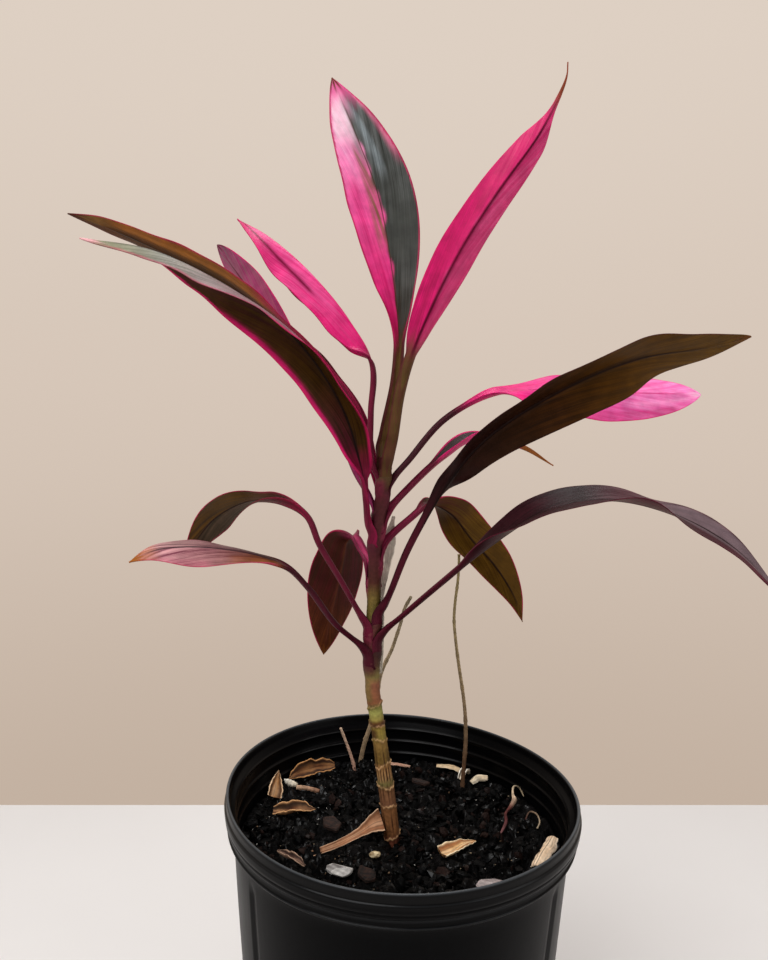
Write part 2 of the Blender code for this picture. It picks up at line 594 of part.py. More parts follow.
def ribbon(name, line, frame, section, home):
    """A thin body carried along a line: an open surface with a thickness given to it.

    frame is the pair of arrays (side, face), one unit vector a station. section is the tuple
    (half width, fold, curl, thickness) of arrays. Across the ribbon v runs from -1 to 1, and a half
    starts at the fold's angle from the side vector and turns by the curl over its width. Its place
    is the sum of that direction, which for a steady turn is width * (sin b - sin a) / curl sideways
    and width * (cos a - cos b) / curl towards the face, with a the fold and b the fold plus curl * v.
    """
    side, face = frame
    width, fold, curl, thickness = section
    curl = np.where(np.abs(curl) < 1e-4, 1e-4, curl)
    v = np.linspace(-1, 1, LEAF_ACROSS + 1)
    end = fold[:, None] + curl[:, None] * np.abs(v)[None, :]
    across = np.sign(v) * width[:, None] * (np.sin(end) - np.sin(fold)[:, None]) / curl[:, None]
    up = width[:, None] * (np.cos(fold)[:, None] - np.cos(end)) / curl[:, None]
    grid = line[:, None, :] + across[..., None] * side[:, None, :] + up[..., None] * face[:, None, :]
    rows, columns = grid.shape[:2]
    corner = (np.arange(rows - 1)[:, None] * columns + np.arange(columns - 1)[None, :]).ravel()
    first = np.stack([corner, corner + 1, corner + columns + 1], 1)
    second = np.stack([corner, corner + columns + 1, corner + columns], 1)
    mesh = bpy.data.meshes.new(name)
    mesh.from_pydata((grid.reshape(-1, 3) * MM).tolist(), [], np.vstack([first, second]).tolist())
    made = mesh_object(name, mesh, home)
    weights = made.vertex_groups.new(name="thickness")
    share = thickness / thickness.max()
    for row in range(rows):
        weights.add(list(range(row * columns, (row + 1) * columns)), float(share[row]), "REPLACE")
    shell = made.modifiers.new("thickness", "SOLIDIFY")
    shell.thickness = float(thickness.max()) * MM
    shell.offset = 0
    shell.vertex_group = "thickness"
    return made


def frame_along(line, stations, heading, roll):
    """The side and face vectors at distances along a line.

    The side starts square to the heading and then rolls about the line; heading and roll are arrays
    of radians, one value a station.
    """
    forward = at_distances(line, stations + 1) - at_distances(line, stations - 1)
    forward /= np.linalg.norm(forward, axis=1)[:, None]
    across = np.stack([-np.sin(heading), np.cos(heading), np.zeros_like(heading)], 1)
    side = across - (forward * across).sum(1)[:, None] * forward
    side /= np.linalg.norm(side, axis=1)[:, None]
    face = np.cross(forward, side)
    c, s = np.cos(roll)[:, None], np.sin(roll)[:, None]
    return c * side + s * face, c * face - s * side


def make_leaf(name, leaf, home):
    """A leaf: a base that clasps part of the cane, a channelled petiole and a folded blade.

    From the clasp's top to CLASP_TO_PETIOLE above it the base leans off the cane and narrows to the
    petiole. Along the blade the half width is width / 2 * (s / w)^(t w) * ((1 - s) / (1 - w))^(t (1 - w)),
    with s from 0 to 1, w where the blade is widest and t the taper.
    """
    height, azimuth = leaf["base"]
    outward = np.array([math.cos(math.radians(azimuth)), math.sin(math.radians(azimuth)), 0.0])
    clasp = leaf.get("clasp", CLASP_SPREAD)
    spread = math.radians(clasp)
    sag = math.cos(spread / LEAF_ACROSS)
    reach = (cane_radius(height) + 2 * GAP + THICK_CLASP / 2) / sag
    freed = CLASP_HEIGHT + CLASP_TO_PETIOLE
    foot = [cane_point(height + rise) + (reach + lean) * outward
            for rise, lean in ((0, 0), (CLASP_HEIGHT, 0), (freed, CLASP_LEAN))]
    line = smooth_line(foot + leaf["line"])
    length = length_of(line)
    petiole = leaf["petiole"]
    stations = np.concatenate([
        np.linspace(0, CLASP_HEIGHT, CLASP_STATIONS), [freed],
        np.linspace(freed, petiole, PETIOLE_STATIONS + 1)[1:],
        np.linspace(petiole, length, BLADE_STATIONS + 1)[1:]])
    share = stations / length
    blade = np.clip((stations - petiole) / (length - petiole), 0, 1)
    widest = leaf.get("widest", BLADE_WIDEST)
    taper = leaf.get("taper", BLADE_TAPER)
    rise, fall = taper * widest, taper * (1 - widest)
    bulge = (blade / widest) ** rise * ((1 - blade) / (1 - widest)) ** fall
    handle = eased(stations, [(CLASP_HEIGHT, reach * spread), (freed, PETIOLE_HALF_ARC)])
    width = np.maximum(np.hypot(handle * (1 - blade), leaf["width"] / 2 * bulge), TIP_HALF_WIDTH)
    in_blade = eased(blade, [(0, 0), (0.25, 1)])
    fold = eased(share, leaf["fold"]) * eased(stations, [(CLASP_HEIGHT, 0), (petiole, 1)])
    fold = fold * (1 - blade ** TIP_FLATTEN)
    curl = eased(stations, [(CLASP_HEIGHT, clasp), (freed, PETIOLE_CURL)]) - np.abs(fold)
    curl = curl * (1 - in_blade) + BLADE_CURL * in_blade
    thick = eased(stations, [(CLASP_HEIGHT, THICK_CLASP), (freed, THICK_PETIOLE), (petiole, THICK_PETIOLE),
                             (petiole + THICK_FADE, THICK_BLADE)])
    heading = np.radians(eased(stations, [(freed, azimuth), (petiole, leaf["heading"])]))
    roll = np.radians(eased(share, leaf["roll"]))
    section = (width, np.radians(fold), np.radians(curl), thick)
    frame = frame_along(line, stations, heading, roll)
    made = ribbon(name, at_distances(line, stations), frame, section, home)
    return finish(made, leaf["colour"], 0.4)


def dried_ribbon(name, points, halves, heading, curl, home, roll=0):
    """A short ribbon of dried leaf along points; halves are its half widths at the same points."""
    knots = np.array(points, float)
    line = smooth_line(knots)
    stations = np.linspace(0, length_of(line), RIBBON_STATIONS)
    run = np.concatenate([[0], np.cumsum(np.linalg.norm(np.diff(knots, axis=0), axis=1))])
    width = np.interp(stations / stations[-1], run / run[-1], halves)
    same = np.ones_like(stations)
    section = (width, 0 * same, math.radians(curl) * width / width.max(), THICK_DRY * same)
    frame = frame_along(line, stations, math.radians(heading) * same, math.radians(roll) * same)
    return as_mesh(ribbon(name, at_distances(line, stations), frame, section, home))


def above_soil(points):
    """Points whose heights are above the soil, as points in space."""
    return [(x, y, soil_height(x, y) + rise) for x, y, rise in points]


def points_of(thing):
    """The vertices, and three points along each edge, of an object that stands unmoved, in metres."""
    places = np.empty(len(thing.data.vertices) * 3)
    thing.data.vertices.foreach_get("co", places)
    places = places.reshape(-1, 3)
    ends = np.empty(len(thing.data.edges) * 2, dtype=int)
    thing.data.edges.foreach_get("vertices", ends)
    first, second = places[ends[0::2]], places[ends[1::2]]
    along = [first + (second - first) * share for share in (0.25, 0.5, 0.75)]
    return np.vstack([places, *along])


def slide(thing, seat, way, gap=SEAT_GAP):
    """Slides a piece along a unit vector until it is a gap away from its seat.

    The room between them is the least that rays find, from the piece's points to the seat and from
    the seat's points back to the piece. The seat has to lie that way.
    """
    depsgraph = bpy.context.evaluated_depsgraph_get()
    bpy.context.view_layer.update()
    there, here = (BVHTree.FromObject(body, depsgraph) for body in (seat, thing))
    way = np.array(way, float)
    rooms = [there.ray_cast(point - way * FAR, way)[3] for point in points_of(thing)]
    rooms += [here.ray_cast(point + way * FAR, -way)[3] for point in points_of(seat)]
    room = min(found - FAR for found in rooms if found is not None)
    move_vertices(thing.data, lambda points: points + way * (room / MM - gap))
    return thing


def make_chip(name, chip, home):
    """A flat chip: a face through its corners, thickened, tilted and chamfered."""
    corners = np.array(chip["corners"], float)
    middle = corners.mean(0)
    mesh = bpy.data.meshes.new(name)
    flat = [metres(x - middle[0], y - middle[1], 0) for x, y in corners]
    mesh.from_pydata(flat, [], [tuple(range(len(flat)))])
    made = mesh_object(name, mesh, home)
    shell = made.modifiers.new("thickness", "SOLIDIFY")
    shell.thickness = chip["thick"] * MM
    shell.offset = 0
    edge = made.modifiers.new("edge", "BEVEL")
    edge.width = chip["thick"] * MM / 4
    edge.segments = 1
    made = as_mesh(made)
    about_x, about_y = np.radians(chip["tilt"])
    tilt = Matrix.Rotation(about_x, 3, "X") @ Matrix.Rotation(about_y, 3, "Y")
    seat = np.array([middle[0], middle[1], soil_height(*middle) + CHIP_RISE])
    move_vertices(made.data, lambda points: points @ np.array(tilt).T + seat)
    return made


def make_pebble(name, pebble, home):
    """A pebble: a ball stretched to its half sizes, with a few flats pressed into it."""
    bpy.ops.mesh.primitive_ico_sphere_add(subdivisions=2, radius=MM)
    made = bpy.context.object
    made.name = name
    for other in made.users_collection:
        other.objects.unlink(made)
    home.objects.link(made)
    x, y = pebble["place"]
    seat = np.array([x, y, soil_height(x, y) + CHIP_RISE])
    turn = Matrix.Rotation(math.radians(pebble["turn"]), 3, "Z")

    def shape(points):
        """A ball's points with low waves on them, stretched, turned and put in place."""
        waves = np.sin(3 * points[:, 0] + 2 * points[:, 2] + x) * np.cos(3 * points[:, 1] + y)
        stretched = points * (1 + PEBBLE_WAVE * waves)[:, None] * np.array(pebble["half"])
        return stretched @ np.array(turn).T + seat

    move_vertices(made.data, shape)
    return made


def make_litter(home, soil):
    """Everything dry that lies on the soil, each piece lowered onto it."""
    pieces = []
    for name, curl in CURLS.items():
        line = above_soil(curl["line"])
        made = dried_ribbon(name, line, curl["halves"], curl["heading"], curl["curl"], home)
        pieces.append((made, curl["colour"]))
    for name, chip in CHIPS.items():
        pieces.append((make_chip(name, chip, home), chip["colour"]))
    for name, pebble in PEBBLES.items():
        pieces.append((make_pebble(name, pebble, home), pebble["colour"]))
    for name, stalk in STALKS.items():
        line = smooth_line(above_soil(stalk["line"]), 3)
        made = tube(name, line, [stalk["radius"]] * len(line), home, 6)
        pieces.append((made, stalk["colour"]))
    for made, colour in pieces:
        slide(made, soil, DOWN)
        finish(made, colour, 0.8)


def make_twig(name, twig, home):
    """A dead twig that tapers from its foot."""
    line = smooth_line(twig["line"], 2)
    first, last = twig["radii"]
    return finish(tube(name, line, np.linspace(first, last, len(line)), home, 6), twig["colour"], 0.8)


def make_strip(home, petiole):
    """The dried leaf base that hangs behind the crown, against the back of a petiole."""
    made = dried_ribbon("dry_strip", STRIP_LINE, STRIP_HALF_WIDTHS, STRIP_HEADING, STRIP_CURL, home)
    slide(made, petiole, STRIP_WAY, STRIP_GAP)
    return finish(made, PALE_DRY, 0.8)


def make_sheath(home, cane, soil):
    """The dried petiole: pushed up against the foot of the cane, then lowered onto the soil."""
    made = dried_ribbon("dry_sheath", SHEATH_LINE, SHEATH_HALF_WIDTHS, SHEATH_HEADING, SHEATH_CURL, home,
                        SHEATH_ROLL)
    slide(made, cane, SHEATH_WAY)
    slide(made, soil, DOWN)
    return finish(made, DRY, 0.8)


def build():
    """Makes the whole plant."""
    clear_scene()
    home = collection(OBJECT_NAME)
    cutters = collection("cutters")
    make_pot(home, cutters)
    stems = {"cane": (*CANE_LINE[0], CANE_RADII[1][1] + CANE_RING_RELIEF)}
    for name, twig in TWIGS.items():
        stems[name] = (*twig["line"][0], twig["radii"][0])
    soil = make_soil(home, cutters, stems)
    cane = make_cane(home)
    leaves = {name: make_leaf(name, leaf, home) for name, leaf in LEAVES.items()}
    for name, twig in TWIGS.items():
        make_twig(name, twig, home)
    make_litter(home, soil)
    make_strip(home, leaves["leaf_hanging_right"])
    make_sheath(home, cane, soil)


build()
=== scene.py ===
"""The look of a potted ti plant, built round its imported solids.

Everything is worked out in millimetres, in the frame of the solids: the origin is the centre of the
pot's underside, +Z is up and -Y is the front. Each piece is a loft: rings of points, one after
another, joined by faces and closed at both ends. A ring's points are computed as whole arrays.
"""
import math

import bpy
import numpy as np
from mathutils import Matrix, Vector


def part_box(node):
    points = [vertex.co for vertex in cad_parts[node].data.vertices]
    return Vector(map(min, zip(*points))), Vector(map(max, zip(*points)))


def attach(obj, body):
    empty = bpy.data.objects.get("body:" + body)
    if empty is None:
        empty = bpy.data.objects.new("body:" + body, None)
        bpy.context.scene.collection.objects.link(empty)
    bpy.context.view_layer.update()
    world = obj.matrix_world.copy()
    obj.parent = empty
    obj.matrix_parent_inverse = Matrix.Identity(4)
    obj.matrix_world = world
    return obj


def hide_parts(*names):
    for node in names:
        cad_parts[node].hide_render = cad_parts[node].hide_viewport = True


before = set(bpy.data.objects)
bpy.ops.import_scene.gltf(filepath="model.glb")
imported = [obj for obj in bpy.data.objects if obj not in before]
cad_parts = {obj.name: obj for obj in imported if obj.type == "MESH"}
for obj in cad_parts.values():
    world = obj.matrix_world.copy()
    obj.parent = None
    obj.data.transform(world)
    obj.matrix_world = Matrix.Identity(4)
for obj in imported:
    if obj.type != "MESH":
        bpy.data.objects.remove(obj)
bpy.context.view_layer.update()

MM = 0.001
TURN = 2 * math.pi

# The camera: its place and the two numbers of its lens, which give the photograph's view
CAMERA_PLACE = (-9, -511, 486)
CAMERA_PITCH = 3.55
CAMERA_LENS = 27.94

# The floor's far edge, and the lamps: place and aim in metres, size and power
FLOOR_END = 438
LAMPS = [("key", (-0.8, -0.9, 1.7), (0, 0, 0.45), 1.3, 25), ("fill", (1.3, -0.8, 1.0), (0, 0, 0.4), 1.2, 8),
         ("top", (0.1, 0.5, 1.9), (0, 0, 0.4), 0.8, 15)]

# The pot, as its solid has it
POT_HEIGHT = 241
POT_WALL = 1.6
POT_FLOOR = 2.5
POT_BASE_RADIUS = 98.2
POT_WALL_TOP_RADIUS = 118.2
POT_WALL_TOP = 216
POT_FOOT_ROUND = 3
POT_INNER_RINGS = (210, 220, 230)
POT_RING_RELIEF = 1.1
POT_SQUEEZE = -0.055
POT_SQUEEZE_TURN = 27
POT_TRIANGLE_SQUEEZE = 0.011
POT_GROOVE_TURNS = (-143, -37, 37, 143)
POT_GROOVE_HALF_WIDTH = 2.1
POT_GROOVE_DEPTH = 1.3
POT_GROOVE_ENDS = (10, 206)
POT_DRAIN_COUNT = 6
POT_DRAIN_RADIUS = 7
POT_DRAIN_CIRCLE = 97
# The heights of the rim's edges that get a painted highlight, a thin pale line in place of the light these edges catch,
# and how much
POT_RIM_HIGHLIGHTS = [(240.85, 0.85), (234.5, 0.12), (224.3, 0.35), (220.1, 0.15)]

# The soil
SOIL_LEVEL = 202
SOIL_RISE = 0.03
SOIL_LUMP = 1.7
SOIL_GAP = 0.5

# The cane
CANE_LINE = [(-3, -1, 160), (-3, -1, 200), (-6, -4, 227), (-8, -5, 243), (-12, -5, 274), (-17, -5, 309),
             (-17, -4, 344), (-16, -3, 367), (-15, -2, 410), (-12, -1, 427), (-9, 0, 456), (-8.5, 0, 470)]
CANE_RADII = [(160, 5.2), (204, 5.4), (250, 5.3), (275, 4.7), (300, 5.0), (345, 5.2), (380, 4.6), (470, 4.0)]
CANE_RINGS = (204, 227, 243, 257, 274, 286, 299)
CANE_RING_RELIEF = 0.7
CANE_RING_HALF_HEIGHT = 2.5
NODE_SWELL = 1.5

# The leaves' common sizes
GAP = 0.3
CLASP_HEIGHT = 5
CLASP_SPREAD = 75
CLASP_TO_PETIOLE = 8
CLASP_LEAN = 3.4
SHEATH_REACH = 24
PETIOLE_HALF_ARC = 4.0
PETIOLE_CURL = 62
BLADE_CURL = 8
BLADE_WIDEST = 0.42
BLADE_TAPER = 1.9
TIP_HALF_WIDTH = 0.3
TIP_FLATTEN = 6
THICK_CLASP = 1.0
THICK_PETIOLE = 2.2
THICK_BLADE = 0.9
THICK_FADE = 30
HALF_STEPS = 14
CREASE = 1.6
TUCK = 4
LINE_STEPS = 16


def srgb(*levels):
    """A colour's linear values from its 0 to 255 levels."""
    share = np.array(levels, float) / 255
    return np.where(share <= 0.04045, share / 12.92, ((share + 0.055) / 1.055) ** 2.4)


HOT = srgb(226, 26, 116)
ROSE = srgb(232, 92, 156)
PALE_PINK = srgb(246, 164, 208)
CRIMSON = srgb(178, 22, 78)
MAGENTA = srgb(196, 22, 98)
DEEP_MAGENTA = srgb(150, 14, 70)
PLUM = srgb(158, 52, 104)
GREY = srgb(112, 116, 116)
GREY_GREEN = srgb(74, 78, 74)
DARK_GREEN = srgb(34, 36, 30)
OLIVE = srgb(68, 44, 12)
OLIVE_LIGHT = srgb(94, 66, 18)
DARK_OLIVE = srgb(40, 22, 10)
NEAR_BLACK = srgb(24, 10, 9)
MAROON = srgb(84, 22, 40)
DARK_MAROON = srgb(52, 16, 24)
DUSKY = srgb(58, 34, 40)
MAUVE = srgb(118, 96, 104)
BROWN = srgb(104, 58, 24)
ORANGE_BROWN = srgb(158, 92, 34)
DUSTY_PINK = srgb(190, 108, 124)

# Each leaf's shape: its solid's numbers, and how some narrow towards the tip ("tail": where, and by
# how much) and how far their edges wave ("ripple")
LEAVES = {
    "leaf_top_left": {
        "base": (464, 100), "heading": 100, "petiole": 82, "width": 51, "widest": 0.54, "taper": 2.0,
        "line": [(-8, 9, 489), (-1, 10, 523), (1, 12, 558), (-5, 17, 610), (-13, 23, 652),
                 (-27, 29, 692), (-46, 34, 738)],
        "fold": [(0.3, 30), (0.6, 14), (1, 20)], "roll": [(0.3, 0), (1, 0)]},
    "leaf_top_right": {
        "base": (457, -72), "heading": -80, "petiole": 84, "width": 37, "clasp": 45, "widest": 0.37,
        "tail": (0.88, 0.7),
        "line": [(-3, -9, 482), (2, -11, 513), (11, -14, 543), (38, -24, 600), (62, -31, 637),
                 (87, -37, 671), (99, -41, 694), (102.5, -42, 704), (103, -42, 712)],
        "ripple": 0.25,
        "fold": [(0.3, 45), (0.6, 45), (1, 30)], "roll": [(0.3, 0), (0.5, -8), (1, -8)]},
    "leaf_pink_left": {
        "base": (450, 195), "heading": 175, "petiole": 88, "width": 46, "clasp": 42, "widest": 0.5, "taper": 0.95,
        "ripple": 2.2,
        "line": [(-19, -1, 470), (-19, -1, 500), (-18, 0, 534), (-33, 4, 564), (-62, 11, 599),
                 (-90, 16, 623), (-111, 20, 635)],
        "fold": [(0.3, 45), (0.45, -60), (1, -68)], "roll": [(0.3, 0), (1, 0)]},
    "leaf_back_left": {
        "base": (428, 165), "heading": 165, "petiole": 85, "width": 31, "clasp": 35, "widest": 0.62,
        "line": [(-29, 5, 458), (-38, 15, 478), (-58, 34, 513), (-86, 50, 555), (-109, 62, 592),
                 (-138, 76, 632)],
        "fold": [(0.3, 25), (1, 10)], "roll": [(0.3, 0), (0.6, 60), (1, 60)]},
    "leaf_long_left": {
        "base": (436, 105), "heading": 165, "petiole": 92, "width": 38, "clasp": 30, "widest": 0.52,
        "line": [(-18, 10, 468), (-26, 11, 500), (-48, 13, 530), (-84, 16, 564), (-117, 19, 590),
                 (-152, 21, 608), (-203, 23, 631), (-232, 25, 641)],
        "fold": [(0.3, 30), (0.5, 5), (1, 0)], "roll": [(0.3, 0), (0.5, 22), (1, 25)]},
    "leaf_near_left": {
        "base": (411, 200), "heading": 200, "petiole": 48, "width": 38, "taper": 1.35,
        "line": [(-22, -14, 440), (-25, -18, 466), (-36, -27, 503), (-62, -37, 543), (-93, -45, 568),
                 (-146, -54, 595), (-190, -60, 602)],
        "fold": [(0.2, 30), (0.4, 45), (1, 40)],
        "roll": [(0.08, 0), (0.25, -110), (0.4, -135), (0.6, -152), (0.76, -178), (0.88, -202), (1, -208)]},
    "leaf_large_right": {
        "base": (356, -25), "heading": -25, "petiole": 75, "width": 46, "widest": 0.6, "tail": (1, 0.25),
        "line": [(-3, -11, 380), (9, -15, 410), (36, -23, 458), (60, -28, 485), (106, -37, 515),
                 (150, -44, 533), (188, -50, 539), (214, -54, 545)],
        "fold": [(0.25, 40), (0.42, -42), (0.7, -42), (0.86, -10), (1, -8)],
        "roll": [(0.1, 0), (0.25, -10), (0.42, -45), (0.7, -45), (0.86, -30), (1, -28)]},
    "leaf_pink_right": {
        "base": (443, 20), "heading": 20, "petiole": 80, "width": 46, "widest": 0.6, "clasp": 50,
        "line": [(9, 8, 467), (34, 15, 495), (70, 26, 514), (106, 36, 518), (150, 48, 517),
                 (235, 66, 516)],
        "fold": [(0.3, 30), (0.5, -20), (1, -30)], "roll": [(0.3, 0), (0.6, 50), (1, 60)]},
    "leaf_curled_right": {
        "base": (420, 38), "heading": 38, "petiole": 60, "width": 20, "tail": (0.72, 0.45),
        "line": [(9, 13, 447), (34, 24, 469), (54, 32, 481), (76, 40, 480), (97, 46, 474),
                 (119, 52, 462)],
        "fold": [(0.3, 40), (1, 40)], "roll": [(0.3, 0), (1, 0)]},
    "leaf_hanging_right": {
        "base": (396, 42), "heading": 42, "petiole": 50, "width": 34,
        "line": [(11, 14, 426), (26, 26, 435), (40, 34, 428), (56, 42, 408), (76, 50, 385),
                 (91, 55, 361), (98, 57, 341)],
        "fold": [(0.3, 20), (1, 8)], "roll": [(0.3, 0), (0.5, -45), (1, -45)]},
    "leaf_arching_right": {
        "base": (337, -15), "heading": -15, "petiole": 85, "width": 40,
        "line": [(6, -13, 364), (32, -20, 388), (56, -28, 410), (92, -38, 436), (130, -48, 445),
                 (165, -58, 438), (200, -68, 418), (228, -75, 388)],
        "fold": [(0.3, 30), (0.5, 10), (1, 8)],
        "roll": [(0.3, 0), (0.45, 20), (0.58, 14), (0.69, -2), (0.82, 28), (1, 30)]},
    "leaf_arching_left": {
        "base": (347, 195), "heading": 195, "petiole": 92, "width": 30, "widest": 0.56,
        "line": [(-38, -13, 385), (-53, -18, 412), (-61, -20, 431), (-76, -20, 440), (-98, -18, 441),
                 (-121, -14, 430), (-135, -13, 414), (-142, -12, 402)],
        "fold": [(0.3, 25), (0.55, 32), (0.7, 0), (1, 0)],
        "roll": [(0.5, 0), (0.64, -10), (0.8, -40), (1, -46)]},
    "leaf_lowest_left": {
        "base": (327, 205), "heading": 205, "petiole": 96, "width": 27, "widest": 0.58, "taper": 2.9,
        "line": [(-43, -16, 358), (-60, -24, 384), (-73, -30, 399), (-90, -38, 408), (-108, -45, 413),
                 (-130, -54, 416), (-148, -62, 415), (-162, -68, 409)],
        "fold": [(0.3, 25), (0.6, -30), (1, -30)], "roll": [(0.3, 0), (0.6, -30), (1, -30)]},
    "leaf_hanging_left": {
        "base": (382, 115), "heading": 115, "petiole": 40, "width": 45, "taper": 1.6,
        "line": [(-25, 15, 403), (-31, 24, 411), (-37, 33, 407), (-40, 38, 391), (-45, 42, 368),
                 (-51, 44, 341), (-55, 45, 319)],
        "fold": [(0.3, 20), (1, 8)], "roll": [(0.3, 0), (1, 0)]},
}

